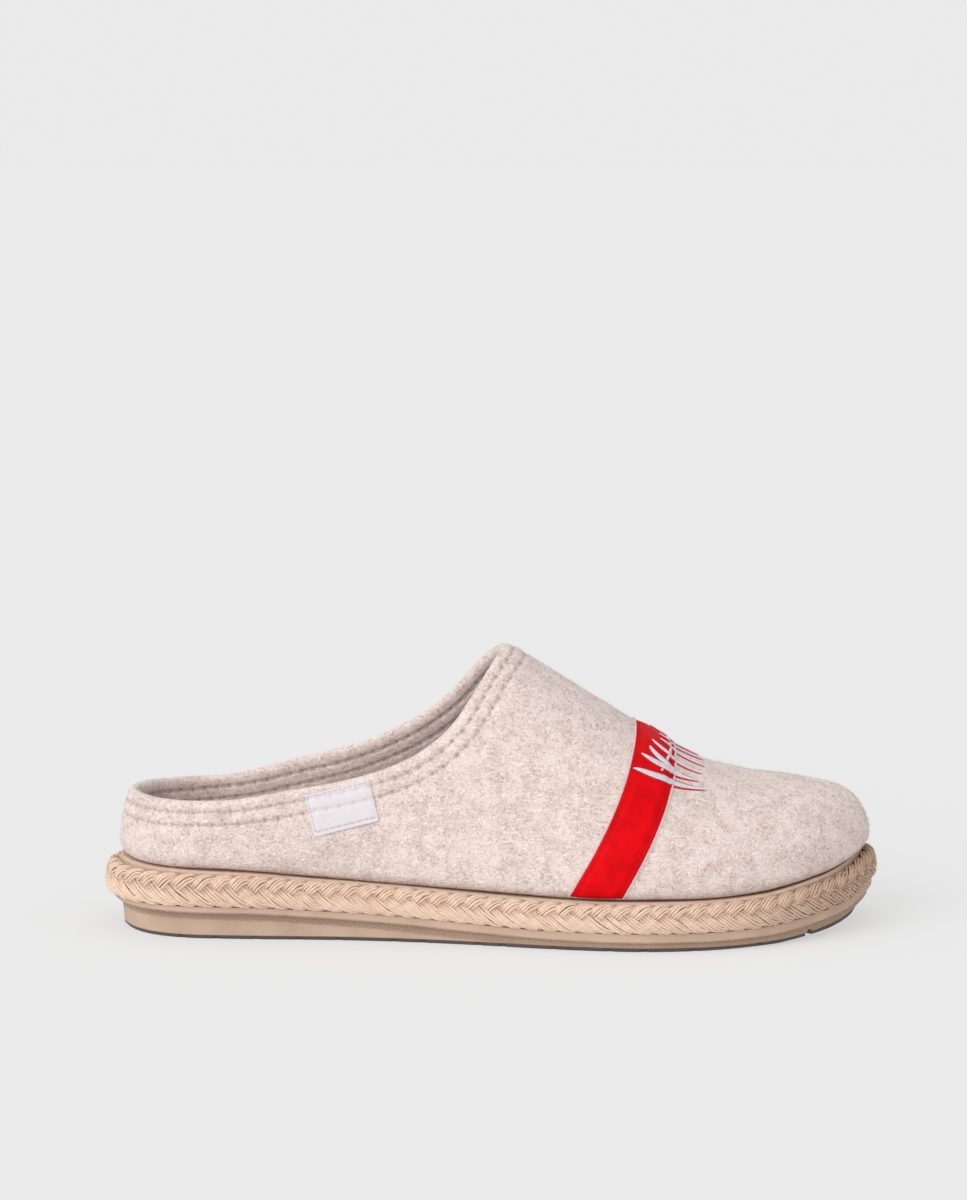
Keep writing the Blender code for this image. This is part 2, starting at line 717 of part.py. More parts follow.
outsole(material("Rubber", (0.56, 0.42, 0.31), 0.6))
midsole(material("Core board", (0.62, 0.46, 0.33), 0.6))
jute_braid(material("Jute", (0.60, 0.42, 0.26), 0.85))
upper(material("Felt", (0.64, 0.58, 0.53), 0.95))
insole(material("Footbed felt", (0.48, 0.41, 0.36), 0.95))
instep_ribbon(material("Red satin", (0.72, 0.01, 0.02), 0.45))
side_tag(material("White satin", (0.78, 0.76, 0.75), 0.4))
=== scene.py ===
"""Looks of a felt mule slipper for the right foot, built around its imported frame.

Metres, +Z up, toe along +X, the outer side of the foot towards -Y. The pieces follow the order in which a maker
would put them together: the felt upper and its stitching, the sole and its jute plait, then the trims.
"""
import math

import bmesh
import bpy
import numpy as np
from mathutils import Matrix, Vector, kdtree, noise
from mathutils.bvhtree import BVHTree


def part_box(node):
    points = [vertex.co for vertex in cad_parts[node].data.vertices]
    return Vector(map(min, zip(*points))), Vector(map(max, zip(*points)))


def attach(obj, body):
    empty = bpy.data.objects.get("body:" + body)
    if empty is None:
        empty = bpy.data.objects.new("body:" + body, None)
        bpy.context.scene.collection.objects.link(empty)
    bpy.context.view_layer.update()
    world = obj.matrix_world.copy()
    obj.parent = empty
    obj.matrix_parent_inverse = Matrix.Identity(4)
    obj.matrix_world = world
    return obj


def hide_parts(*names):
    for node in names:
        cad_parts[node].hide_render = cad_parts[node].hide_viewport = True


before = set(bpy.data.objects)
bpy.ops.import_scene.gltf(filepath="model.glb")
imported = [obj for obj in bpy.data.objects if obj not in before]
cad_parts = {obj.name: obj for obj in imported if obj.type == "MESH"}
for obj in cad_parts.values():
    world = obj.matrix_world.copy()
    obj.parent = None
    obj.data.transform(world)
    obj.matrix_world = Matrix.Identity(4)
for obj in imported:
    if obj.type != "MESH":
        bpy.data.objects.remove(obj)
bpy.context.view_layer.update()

MM = 0.001


# Felt upper. One piece of thick pressed wool felt, cream with brown flecks, lasted over a foot form. Its edge
# is folded to the inside at the collar and held by two rows of stitches, which pull soft dimples into it.
STITCH_ROWS = (4.4 * MM, 8.8 * MM)
STITCH_PITCH = 4.2 * MM
GROOVE_WIDTH = 0.75 * MM
GROOVE_DEPTH = 0.45 * MM
DIMPLE_DEPTH = 0.45 * MM
COLLAR_REACH = 13 * MM
# Painted shade: how far up from the core and how strongly the felt's foot is darkened, then how strongly its
# stitch grooves and needle holes are, and the darkest it gets
FOOT_REACH = 3.5 * MM
FOOT_SHADE = 0.22
GROOVE_SHADE = 0.12
HOLE_SHADE = 0.36
DEEPEST_SHADE = 0.8
SLOW_SWELL = 0.35 * MM
LUMP_HEIGHT = 0.10 * MM
RIDGE_POINTS = 1200
FELT_CREAM = (0.83, 0.705, 0.66, 1)
FELT_ROSE = (0.69, 0.56, 0.515, 1)
FELT_BROWN = (0.44, 0.335, 0.295, 1)
# Colour of the painted shade in the felt's stitch grooves and needle holes and along its foot by the core
FELT_SHADE_PAINT = (0.20, 0.135, 0.11, 1)
WOOL_PALE = (0.92, 0.83, 0.78, 1)

# Soft troughs (negative) and ridges in the felt, in millimetres: a place, how far they reach along,
# across and up, and their depth
FELT_FOLDS = (MM * np.array((
    # x, y, z, reach x, reach y, reach z, depth
    (88, 0, 52, 9, 30, 20, -0.9),
    (104, -8, 48, 10, 26, 16, 0.6),
    (28, -44, 40, 20, 14, 8, -0.8),
    (20, 44, 40, 20, 14, 9, -0.8),
    (-60, -33, 34, 16, 12, 9, 0.7),
    (-88, -30, 38, 9, 12, 12, -0.7),
    (-92, 28, 38, 10, 12, 12, -0.7),
    (112, -22, 34, 10, 14, 9, 0.5),
))).tolist()


def welded(name):
    """Copy of a frame node's mesh with its corners welded and its triangles joined back into quads."""
    bm = editable(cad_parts[name])
    bmesh.ops.remove_doubles(bm, verts=bm.verts, dist=0.02 * MM)
    limit = math.radians(70)
    bmesh.ops.join_triangles(bm, faces=bm.faces, angle_face_threshold=limit, angle_shape_threshold=limit)
    return bm


def closed_loops(edges):
    """The closed lines that some edges form, each from its rearmost point round by the outer side."""
    links = {}
    for edge in edges:
        start, end = edge.verts
        links.setdefault(start, []).append(end)
        links.setdefault(end, []).append(start)
    left, loops = set(links), []
    while left:
        start = min(left, key=lambda vert: (vert.co.x, vert.index))
        loop, here = [], min(links[start], key=lambda vert: vert.co.y)
        before = start
        loop.append(start)
        while here is not start and here in left and len(links[here]) == 2:
            loop.append(here)
            before, here = here, next(vert for vert in links[here] if vert is not before)
        left -= set(loop)
        left.discard(start)
        if here is start and len(loop) > 8:
            loops.append(np.array([vert.co for vert in loop]))
    return loops


def lengths_along(line):
    """How far along a line each of its points lies."""
    return np.concatenate(([0.0], np.cumsum(np.linalg.norm(np.diff(line, axis=0), axis=1))))


def read_at(places, lengths, rows):
    """Rows that belong to some lengths, read at other places."""
    return np.column_stack([np.interp(places, lengths, column) for column in rows.T])


def evened(loop, count, softening):
    """Closed line with evenly spaced points; more than three columns are carried along."""
    loop = np.vstack((loop, loop[:1]))
    lengths = lengths_along(loop[:, :3])
    line = read_at(np.linspace(0, lengths[-1], count, endpoint=False), lengths, loop)
    for _ in range(softening):
        line = (np.roll(line, 1, axis=0) + 2 * line + np.roll(line, -1, axis=0)) / 4
    return line


def unit(rows):
    return rows / np.linalg.norm(rows, axis=1)[:, None]


def editable(piece):
    bm = bmesh.new()
    bm.from_mesh(piece.data)
    return bm


def mesh_of(bm, name):
    mesh = bpy.data.meshes.new(name)
    bm.to_mesh(mesh)
    bm.free()
    mesh.shade_smooth()
    return mesh


def placed(name, mesh):
    """Object at the origin for a mesh that already lies where it belongs."""
    made = bpy.data.objects.new(name, mesh)
    bpy.context.scene.collection.objects.link(made)
    return made


def worked(made):
    """The object again as a plain mesh, with its modifiers or its curve's bevel applied."""
    bpy.context.view_layer.update()
    evaluated = made.evaluated_get(bpy.context.evaluated_depsgraph_get())
    mesh, name = bpy.data.meshes.new_from_object(evaluated), made.name
    bpy.data.objects.remove(made)
    return placed(name, mesh)


def feed(made, inputs):
    """Sets a node's inputs to numbers, colours or the sockets that feed them."""
    for name, value in inputs.items():
        if isinstance(value, bpy.types.NodeSocket):
            made.id_data.links.new(value, made.inputs[name])
        else:
            made.inputs[name].default_value = value
    return made


def node(tree, kind, inputs=None, **settings):
    """Adds a shader node."""
    made = tree.nodes.new("ShaderNode" + kind)
    for name, value in settings.items():
        setattr(made, name, value)
    return feed(made, inputs or {})


def own_place(tree):
    """The piece's own coordinates, in metres."""
    return node(tree, "TexCoord").outputs["Object"]


def calc(tree, operation, *values):
    return node(tree, "Math", dict(enumerate(values)), operation=operation).outputs[0]


def product(tree, first, second):
    return calc(tree, "MULTIPLY", first, second)


def difference(tree, first, second):
    return calc(tree, "SUBTRACT", first, second)


def noisy(tree, place, scale, detail, roughness=0.5):
    inputs = {"Vector": place, "Scale": scale, "Detail": detail, "Roughness": roughness}
    return node(tree, "TexNoise", inputs).outputs[0]


def mixed(tree, share, first, second, blend="MIX"):
    """Colour between two others."""
    made = node(tree, "Mix", {0: share, 6: first, 7: second}, data_type="RGBA", blend_type=blend)
    return made.outputs[2]


def ranged(tree, value, low, high, out_low=0.0, out_high=1.0):
    """A value's place between two limits, eased at both ends."""
    inputs = {"Value": value, "From Min": low, "From Max": high, "To Min": out_low, "To Max": out_high}
    return node(tree, "MapRange", inputs, interpolation_type="SMOOTHSTEP").outputs[0]


def shader_group(name, inputs, outputs):
    """Empty node group; inputs are names with a default each, outputs names with a socket kind each."""
    tree = bpy.data.node_groups.new(name, "ShaderNodeTree")
    for label, value in inputs.items():
        kind = "NodeSocketColor" if isinstance(value, tuple) else "NodeSocketFloat"
        socket = tree.interface.new_socket(label, in_out="INPUT", socket_type=kind)
        socket.default_value = value
    for label, kind in outputs.items():
        tree.interface.new_socket(label, in_out="OUTPUT", socket_type=kind)
    return tree, tree.nodes.new("NodeGroupInput"), tree.nodes.new("NodeGroupOutput")


def new_material(name):
    made = bpy.data.materials.new(name)
    made.use_nodes = True
    tree = made.node_tree
    return made, tree, tree.nodes["Principled BSDF"]


def set_inputs(shader, **values):
    feed(shader, {name.replace("_", " "): value for name, value in values.items()})


def bump(tree, shader, height, depth, strength=1.0):
    """Feeds a height into the shader's normal."""
    made = node(tree, "Bump", {"Height": height, "Distance": depth, "Strength": strength})
    feed(shader, {"Normal": made.outputs[0]})


def faces_of(piece):
    return BVHTree.FromPolygons([vert.co for vert in piece.data.vertices],
                                [tuple(face.vertices) for face in piece.data.polygons])


def melange_group():
    """Wool fibres of several shades pressed together: slow cloudy patches, short flecks and single hairs."""
    tree, given, result = shader_group(
        "Melange wool", {"Light": FELT_CREAM, "Middle": FELT_ROSE, "Dark": FELT_BROWN, "Flecks": 1.0},
        {"Color": "NodeSocketColor", "Height": "NodeSocketFloat"})
    place = own_place(tree)
    patches = ranged(tree, noisy(tree, place, 190, 5, 0.68), 0.38, 0.60)
    bend = node(tree, "TexNoise", {"Vector": place, "Scale": 420, "Detail": 1})
    stirred = node(tree, "VectorMath", {0: bend.outputs["Color"], 1: (1.6 * MM,) * 3}, operation="MULTIPLY")
    stirred = node(tree, "VectorMath", {0: place, 1: stirred.outputs[0]}, operation="ADD").outputs[0]
    streaks = []
    for turn, stretch, scale in (
            ((0.3, 0.6, 0.2), (1, 0.28, 1), 1350),
            ((1.1, -0.4, 1.3), (0.3, 1, 1), 1500),
            ((-0.5, 0.9, 0.4), (1, 1, 0.3), 2100),
    ):
        laid = node(tree, "Mapping", {"Vector": stirred, "Rotation": turn, "Scale": stretch}).outputs[0]
        streaks.append(noisy(tree, laid, scale, 2, 0.6))
    dark = product(tree, ranged(tree, streaks[0], 0.46, 0.68), ranged(tree, patches, 0.0, 1.0, 0.85, 0.5))
    dark = product(tree, dark, given.outputs["Flecks"])
    pale = ranged(tree, streaks[1], 0.52, 0.70, 0.0, 0.7)
    ground = mixed(tree, patches, given.outputs["Middle"], given.outputs["Light"])
    ground = mixed(tree, ranged(tree, streaks[2], 0.40, 0.62, 0.0, 0.5), ground, given.outputs["Middle"])
    flecked = mixed(tree, dark, ground, given.outputs["Dark"])
    colour = mixed(tree, pale, flecked, WOOL_PALE)
    feed(result, {"Color": colour, "Height": difference(tree, streaks[0], streaks[1])})
    return tree


MELANGE = melange_group()


def wool_material(name, flecks, brightness):
    """Matt wool felt; a point attribute paints shade into it: into its stitch grooves and needle holes, and
    along its foot next to the core.
    """
    made, tree, shader = new_material(name)
    wool = feed(node(tree, "Group", node_tree=MELANGE), {"Flecks": flecks})
    shaded = node(tree, "Attribute", attribute_name="felt_painted_shade").outputs["Fac"]
    dimmed = mixed(tree, shaded, wool.outputs["Color"], FELT_SHADE_PAINT)
    toned = mixed(tree, 1.0, dimmed, (brightness, brightness, brightness, 1), blend="MULTIPLY")
    set_inputs(shader, Base_Color=toned, Roughness=0.92, Sheen_Weight=0.25, Sheen_Roughness=0.6,
               Specular_IOR_Level=0.15)
    bump(tree, shader, wool.outputs["Height"], 0.35 * MM, 0.8)
    return made


shell = welded("upper")
lip_edges = [edge for edge in shell.edges if 33 < math.degrees(edge.calc_face_angle(0)) < 62]
lips = [loop for loop in closed_loops(lip_edges) if len(loop) > 30 and loop[:, 2].mean() > 40 * MM]
ridge = min(lips, key=lambda loop: sum(np.linalg.norm(loop - other, axis=1).mean() for other in lips))
beside_ridge = [loop for loop in lips if loop is not ridge]
inner_lip, outer_lip = sorted(beside_ridge, key=lambda loop: abs(loop[:, 1]).mean())
middle = (inner_lip + outer_lip) / 2
collar = evened(np.hstack((ridge, unit(outer_lip - middle), unit(ridge - middle))), RIDGE_POINTS, 14)
collar_line, collar_face, collar_out = collar[:, :3], unit(collar[:, 3:6]), unit(collar[:, 6:9])
collar_step = np.linalg.norm(np.diff(np.vstack((collar_line, collar_line[:1])), axis=0), axis=1).mean()
stitch_count = round(collar_step * RIDGE_POINTS / STITCH_PITCH)
collar_tree = kdtree.KDTree(RIDGE_POINTS)
for index, point in enumerate(collar_line):
    collar_tree.insert(point, index)
collar_tree.balance()

felt = placed("felt_upper", mesh_of(shell, "felt_upper"))
rounding = felt.modifiers.new("Rounding", "SUBSURF")
rounding.levels = rounding.render_levels = 2
felt = worked(felt)
bm = editable(felt)
for _ in range(2):
    near = {vert for vert in bm.verts if collar_tree.find(vert.co)[2] < COLLAR_REACH}
    crossing = [edge for edge in bm.edges if edge.verts[0] in near and edge.verts[1] in near]
    bmesh.ops.subdivide_edges(bm, edges=crossing, cuts=1, use_grid_fill=True, smooth=0.6)
bm.normal_update()
shade = bm.verts.layers.float.new("felt_painted_shade")
core_faces = faces_of(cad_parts["midsole"])
moves = []
for vert in bm.verts:
    co = vert.co
    shift = noise.noise(co / (30 * MM)) * SLOW_SWELL
    shift += noise.noise(co / (7 * MM) + Vector((3, 1, 7))) * LUMP_HEIGHT
    for x, y, z, reach_x, reach_y, reach_z, depth in FELT_FOLDS:
        off = ((co.x - x) / reach_x) ** 2 + ((co.y - y) / reach_y) ** 2 + ((co.z - z) / reach_z) ** 2
        if off < 6:
            shift += depth * math.exp(-off)
    _, index, away = collar_tree.find(co)
    # Painted shade: the felt is darkened along its foot next to the core, and in the stitch grooves and needle
    # holes below the collar.
    near_core = core_faces.find_nearest(co, FOOT_REACH)[3]
    dimmed = 0.0 if near_core is None else FOOT_SHADE * (1 - near_core / FOOT_REACH)
    if away < COLLAR_REACH:
        below = (Vector(collar_line[index]) - co).dot(Vector(collar_out[index]))
        for row, at in enumerate(STITCH_ROWS):
            groove = math.exp(-((below - at) / GROOVE_WIDTH) ** 2)
            turn = math.cos(2 * math.pi * (index / RIDGE_POINTS * stitch_count + 0.5 * row))
            hole = groove * max(turn, 0.0) ** 4
            shift -= GROOVE_DEPTH * groove + DIMPLE_DEPTH * hole
            dimmed += GROOVE_SHADE * groove + HOLE_SHADE * hole
    vert[shade] = min(dimmed, DEEPEST_SHADE)
    moves.append(vert.normal * shift)
for vert, move in zip(bm.verts, moves):
    vert.co += move
felt.data = mesh_of(bm, "felt_upper")
felt.data.materials.append(wool_material("Melange felt", 1.0, 1.0))
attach(felt, "root")
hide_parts("upper")
felt_faces = faces_of(felt)


# Collar stitches. Two rows of felt-coloured thread, sewn by machine through the folded edge, so that each row
# shows outside and inside; every stitch dives into its needle hole at both ends.
COLLAR_THREAD = 0.17 * MM
THREAD_SAND = (0.66, 0.535, 0.485, 1)
# Share of a stitch, and its height over the cloth as a share of how far it rises or sinks
STITCH_SHARES = np.array((0.05, 0.20, 0.50, 0.80, 0.95))
STITCH_RISES = np.array((-1.0, 0.35, 1.0, 0.35, -1.0))


def threads(name, lines, radius, resolution=1):
    """Round closed cords along lists of points, joined in one mesh."""
    curve = bpy.data.curves.new(name, "CURVE")
    curve.dimensions = "3D"
    curve.bevel_depth = radius
    curve.bevel_resolution = resolution
    curve.use_fill_caps = True
    for line in lines:
        spline = curve.splines.new("POLY")
        spline.points.add(len(line) - 1)
        spline.points.foreach_set("co", np.column_stack((line, np.ones(len(line)))).ravel())
    made = worked(placed(name, curve))
    bm = editable(made)
    bmesh.ops.remove_doubles(bm, verts=bm.verts, dist=0.001 * MM)
    made.data = mesh_of(bm, name)
    return made


def sewn(line, normals, count, rise, sink):
    """Running stitches, end to end, along a line on cloth whose normals are given."""
    lengths = lengths_along(line)
    lifts = np.where(STITCH_RISES > 0, STITCH_RISES * rise, STITCH_RISES * sink)
    stitches = []
    for stitch in range(count):
        at = (stitch + STITCH_SHARES) / count * lengths[-1]
        points, faces = read_at(at, lengths, line), read_at(at, lengths, normals)
        stitches.append(points + unit(faces) * lifts[:, None])
    return stitches


def cast(faces, start, direction, reach):
    """Where a ray lands on a piece and the piece's normal there, or the nearest place if it misses."""
    spot, normal, _, _ = faces.ray_cast(start, direction, reach)
    if spot is None:
        spot, normal, _, _ = faces.find_nearest(start + direction * (reach / 2))
    return spot, normal


def cord_material(name, colour, roughness, sheen):
    """Twisted sewing thread: fine slanting plies, with painted shade between them, so that they are lighter
    where they stand up.
    """
    made, tree, shader = new_material(name)
    plies = noisy(tree, own_place(tree), 3500, 1)
    ply_shade = tuple(0.72 * part for part in colour[:3]) + (1,)
    set_inputs(shader, Base_Color=mixed(tree, ranged(tree, plies, 0.35, 0.65), ply_shade, colour),
               Roughness=roughness, Sheen_Weight=sheen, Specular_IOR_Level=0.3)
    bump(tree, shader, plies, 0.05 * MM)
    return made


collar_seams = []
for row, at in enumerate(STITCH_ROWS):
    for side in (1, -1):
        spots = []
        for share in np.linspace(0, 1, RIDGE_POINTS + 1) - 0.5 * row / stitch_count:
            index = round(share * RIDGE_POINTS) % RIDGE_POINTS
            face, out = Vector(collar_face[index]) * side, Vector(collar_out[index])
            start = Vector(collar_line[index]) - out * at + face * 15 * MM
            spots.append(cast(felt_faces, start, -face, 30 * MM))
        line, normals = (np.array(column) for column in zip(*spots))
        collar_seams += sewn(line, normals, stitch_count, 0.16 * MM, 0.5 * MM)
collar_stitches = threads("collar_stitches", collar_seams, COLLAR_THREAD)
collar_stitches.data.materials.append(cord_material("Sand thread", THREAD_SAND, 0.7, 0.2))
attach(collar_stitches, "root")


# Outsole and core. The outsole is one moulding of beige rubber whose wedge has a grained band under its lip;
# the core is smooth foam board, painted to match, and only its top edge shows. Both keep their frame's solids.
RUBBER_BEIGE = (0.56, 0.395, 0.295, 1)
RUBBER_DULL = (0.50, 0.345, 0.255, 1)
# Colour of the painted shade under the lip and in the grain's pits
RUBBER_SHADE = (0.32, 0.20, 0.14, 1)
# Near-black colour of the painted shadow at the sole's foot, on its walls and on the ring inside it
SHADOW_PAINT_DARK = (0.085, 0.062, 0.058, 1)
BOARD_BEIGE = (0.60, 0.42, 0.31, 1)
BOARD_LIGHT = (0.66, 0.475, 0.36, 1)
GRAIN_BAND = 2.8 * MM
# Height above the floor of the painted shadow strip on the sole's walls
SHADOW_STRIP_HEIGHT = 1.4 * MM
# Ring of painted shadow inside the sole's foot: how far inside the wall, how high and how many points round
SHADOW_RING_INSET = 0.7 * MM
SHADOW_RING_HEIGHT = 1.9 * MM
SHADOW_RING_POINTS = 600
TREAD_PITCH = 5.2 * MM
TREAD_WAVE = 16 * MM
TREAD_SWING = 1.5 * MM
# The painted shadow ring's width and its clearance off the floor
SHADOW_RING_WIDTH = 6 * MM
SHADOW_RING_CLEAR = 0.1 * MM
SOLE_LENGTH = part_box("jute_braid")[1].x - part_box("jute_braid")[0].x
LIP_UNDERSIDE = (
    # along, height of the lip's lower edge
    (0.00, 9.7 * MM),
    (0.19, 9.6 * MM),
    (0.28, 8.4 * MM),
    (0.38, 6.7 * MM),
    (0.48, 4.6 * MM),
    (0.575, 3.5 * MM),
    (0.66, 3.2 * MM),
    (0.84, 3.8 * MM),
    (0.91, 6.0 * MM),
    (1.00, 12.4 * MM),
)


def tread_heights():
    """How high the outsole's underside lies at shares of its length, read off the frame."""
    corners = np.array([vert.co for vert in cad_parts["outsole"].data.vertices])
    heights = []
    for share in np.linspace(0, 1, 15):
        near = abs(corners[:, 0] - (share - 0.5) * SOLE_LENGTH) < 8 * MM
        heights.append((float(share), float(corners[near, 2].min())))
    return heights


def height_line(tree, along, rows):
    """Height along the sole from rows of a share of its length and a height."""
    top = max(height for _, height in rows)
    curve = node(tree, "FloatCurve", {"Value": along})
    line = curve.mapping.curves[0]
    for point, (share, height) in zip(line.points, (rows[0], rows[-1])):
        point.location = (share, height / top)
    for share, height in rows[1:-1]:
        line.points.new(share, height / top)
    curve.mapping.update()
    return product(tree, curve.outputs[0], top)


def rubber_material():
    """Beige rubber: a grained band under the lip with painted shade, a dark strip of painted shadow along the
    floor and waved grooves below.
    """
    made, tree, shader = new_material("Beige rubber")
    place = own_place(tree)
    parts = node(tree, "SeparateXYZ", {0: place})
    along = node(tree, "MapRange", {"Value": parts.outputs[0], "From Min": -SOLE_LENGTH / 2,
                                    "From Max": SOLE_LENGTH / 2}).outputs[0]
    under = difference(tree, height_line(tree, along, LIP_UNDERSIDE), parts.outputs[2])
    above = difference(tree, parts.outputs[2], height_line(tree, along, tread_heights()))
    wander = node(tree, "MapRange", {"Value": noisy(tree, place, 300, 2), "To Min": -0.5 * MM,
                                     "To Max": 0.5 * MM}).outputs[0]
    # Painted shade: the grained band just under the lip is darkened a little, and its grain pits more.
    band = calc(tree, "ADD", under, wander)
    band = product(tree, ranged(tree, band, -0.3 * MM, 0.3 * MM),
                   ranged(tree, band, GRAIN_BAND * 1.3, GRAIN_BAND * 0.8))
    grain = node(tree, "TexVoronoi", {"Vector": place, "Scale": 1500}).outputs["Distance"]
    pits = product(tree, ranged(tree, grain, 0.25, 0.6), band)
    ground = mixed(tree, ranged(tree, noisy(tree, place, 90, 3), 0.3, 0.7), RUBBER_BEIGE, RUBBER_DULL)
    banded = mixed(tree, ranged(tree, band, 0.0, 1.0, 0.0, 0.25), ground, RUBBER_SHADE)
    pitted = mixed(tree, ranged(tree, pits, 0.0, 1.0, 0.0, 0.6), banded, RUBBER_SHADE)
    facing = node(tree, "SeparateXYZ", {0: node(tree, "NewGeometry").outputs["Normal"]}).outputs[2]
    below = ranged(tree, facing, -0.85, -0.97)
    # Painted shadow: the walls' lowest strip above the floor is painted near-black; faces that look down stay
    # beige.
    edge = ranged(tree, above, SHADOW_STRIP_HEIGHT * 1.12, SHADOW_STRIP_HEIGHT * 0.88)
    edge = product(tree, edge, difference(tree, 1.0, below))
    shadow_strip_painted = mixed(tree, edge, pitted, SHADOW_PAINT_DARK)
    set_inputs(shader, Base_Color=shadow_strip_painted, Roughness=0.58, Specular_IOR_Level=0.4)
    swing = calc(tree, "SINE", product(tree, parts.outputs[1], 2 * math.pi / TREAD_WAVE))
    ribs = calc(tree, "ADD", parts.outputs[0], product(tree, swing, TREAD_SWING))
    ribs = calc(tree, "SINE", product(tree, ribs, 2 * math.pi / TREAD_PITCH))
    ribs = product(tree, ranged(tree, ribs, -0.75, -0.45), product(tree, below, 4.0))
    relief = difference(tree, product(tree, noisy(tree, place, 1800, 2), 0.25), pits)
    bump(tree, shader, calc(tree, "ADD", relief, ribs), 0.25 * MM, 0.8)
    return made


def board_material():
    made, tree, shader = new_material("Core edge")
    place = own_place(tree)
    mottle = ranged(tree, noisy(tree, place, 220, 4), 0.35, 0.65)
    set_inputs(shader, Base_Color=mixed(tree, mottle, BOARD_BEIGE, BOARD_LIGHT), Roughness=0.5,
               Specular_IOR_Level=0.4)
    bump(tree, shader, noisy(tree, place, 900, 3), 0.08 * MM)
    return made


for name, material in (("outsole", rubber_material()), ("midsole", board_material())):
    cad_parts[name].data.materials.clear()
    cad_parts[name].data.materials.append(material)

core = welded("midsole")
foot_edges = [edge for edge in core.edges if 65 < math.degrees(edge.calc_face_angle(0)) < 115]
core_round_line = max(closed_loops(foot_edges), key=len)
core.free()
# Painted shadow: a near-black ring set just inside the outsole's wall at its foot, so that the notches in that
# wall show dark.
shadow_ring_line = evened(core_round_line, SHADOW_RING_POINTS, 10)
outwards = unit(np.cross(np.roll(shadow_ring_line, -1, axis=0) - np.roll(shadow_ring_line, 1, axis=0), (0, 0, 1)))
rubber_faces = faces_of(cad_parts["outsole"])
tread_rows = np.array(tread_heights())
rings = []
for point, outward in zip(shadow_ring_line, outwards):
    floor_height = float(np.interp(point[0] / SOLE_LENGTH + 0.5, tread_rows[:, 0], tread_rows[:, 1]))
    outward = Vector(outward)
    level = Vector((point[0], point[1], floor_height + SHADOW_RING_HEIGHT))
    spot, _ = cast(rubber_faces, level + outward * 20 * MM, -outward, 40 * MM)
    outer = spot - outward * SHADOW_RING_INSET
    inner = outer - outward * SHADOW_RING_WIDTH
    drop = Vector((0, 0, SHADOW_RING_HEIGHT - SHADOW_RING_CLEAR))
    rings.append([outer, inner, inner - drop, outer - drop])
shadow_ring_bm = bmesh.new()
corners = [[shadow_ring_bm.verts.new(spot) for spot in ring] for ring in rings]
for ring, after in zip(corners, corners[1:] + corners[:1]):
    for i in range(4):
        shadow_ring_bm.faces.new((ring[i], after[i], after[(i + 1) % 4], ring[(i + 1) % 4]))
bmesh.ops.recalc_face_normals(shadow_ring_bm, faces=shadow_ring_bm.faces)
shadow_ring = placed("outsole_shadow_ring", mesh_of(shadow_ring_bm, "outsole_shadow_ring"))
shadow_ring_paint, tree, shader = new_material("Painted notch shadow")
set_inputs(shader, Base_Color=SHADOW_PAINT_DARK, Roughness=0.7)
shadow_ring.data.materials.append(shadow_ring_paint)
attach(shadow_ring, "root")


# Jute plait. Five flat strands, each of several soft jute yarns side by side, are plaited into a band that is
# glued round the core. It bulges, so its lower row of bundles shows wide and its upper row is foreshortened.
STRANDS = 5
YARNS = 5
LOBE_PITCH = 6.2 * MM
YARN_RADIUS = 0.50 * MM
YARN_SPACING = 0.92 * MM
STRAND_CROWN = 0.45 * MM
WEAVE_LIFT = 0.62 * MM
PLAIT_SHEAR = 0.30
YARN_STEP = 1.25 * MM
BAND_POINTS = 2400
CORE_GAP = 0.3 * MM
JUTE_LIGHT = (0.95, 0.765, 0.625, 1)
JUTE_TAN = (0.71, 0.485, 0.355, 1)
# Colour of the painted shade where the yarns pass under other strands
JUTE_SHADE_PAINT = (0.31, 0.145, 0.085, 1)
JUTE_TOE = (0.36, 0.22, 0.135, 1)

# Section of the band over the core's wall, from its lower edge to its upper one, in millimetres
BAND_SECTION = MM * np.array((
    # out from the core, up from the lip
    (0.9, 0.5),
    (3.1, 0.5),
    (3.9, 2.2),
    (4.0, 4.5),
    (3.9, 6.8),
    (3.3, 8.7),
    (2.0, 9.9),
    (0.5, 10.0),
))
# Height of the whole band at shares of the sole's length
BAND_HEIGHTS = np.array((
    (0.00, 10.4 * MM),
    (0.10, 10.1 * MM),
    (0.19, 9.7 * MM),
    (0.28, 9.0 * MM),
    (0.38, 8.8 * MM),
    (1.00, 8.8 * MM),
))
VEE_LINE = 8.4 * MM
UPPER_REACH = 4.2 * MM
LOWER_REACH = 6.6 * MM
# Painted shade over the upper row of lobes
UPPER_ROW_SHADE = 0.12
FIBRES_ALONG = 220
FIBRES_ROUND = 7
FIBRE_TWIST = 5


def softened(line, times):
    """Open line with its bends eased; its ends stay where they are."""
    for _ in range(times):
        line[1:-1] = (line[:-2] + 2 * line[1:-1] + line[2:]) / 4
    return line


core_foot = evened(core_round_line, BAND_POINTS, 40)
core_round = lengths_along(core_foot[:, :2])[-1] + float(np.linalg.norm(core_foot[0, :2] - core_foot[-1, :2]))
core_tangent = unit((np.roll(core_foot, -1, axis=0) - np.roll(core_foot, 1, axis=0)) * (1, 1, 0))
core_normal = np.column_stack((core_tangent[:, 1], -core_tangent[:, 0], np.zeros(BAND_POINTS)))

section_lengths = lengths_along(BAND_SECTION)
section_fine = np.linspace(0, section_lengths[-1], 200)
section_line = softened(read_at(section_fine, section_lengths, BAND_SECTION), 60)
section_slope = unit(np.gradient(section_line, axis=0))
section_normal = np.column_stack((section_slope[:, 1], -section_slope[:, 0]))


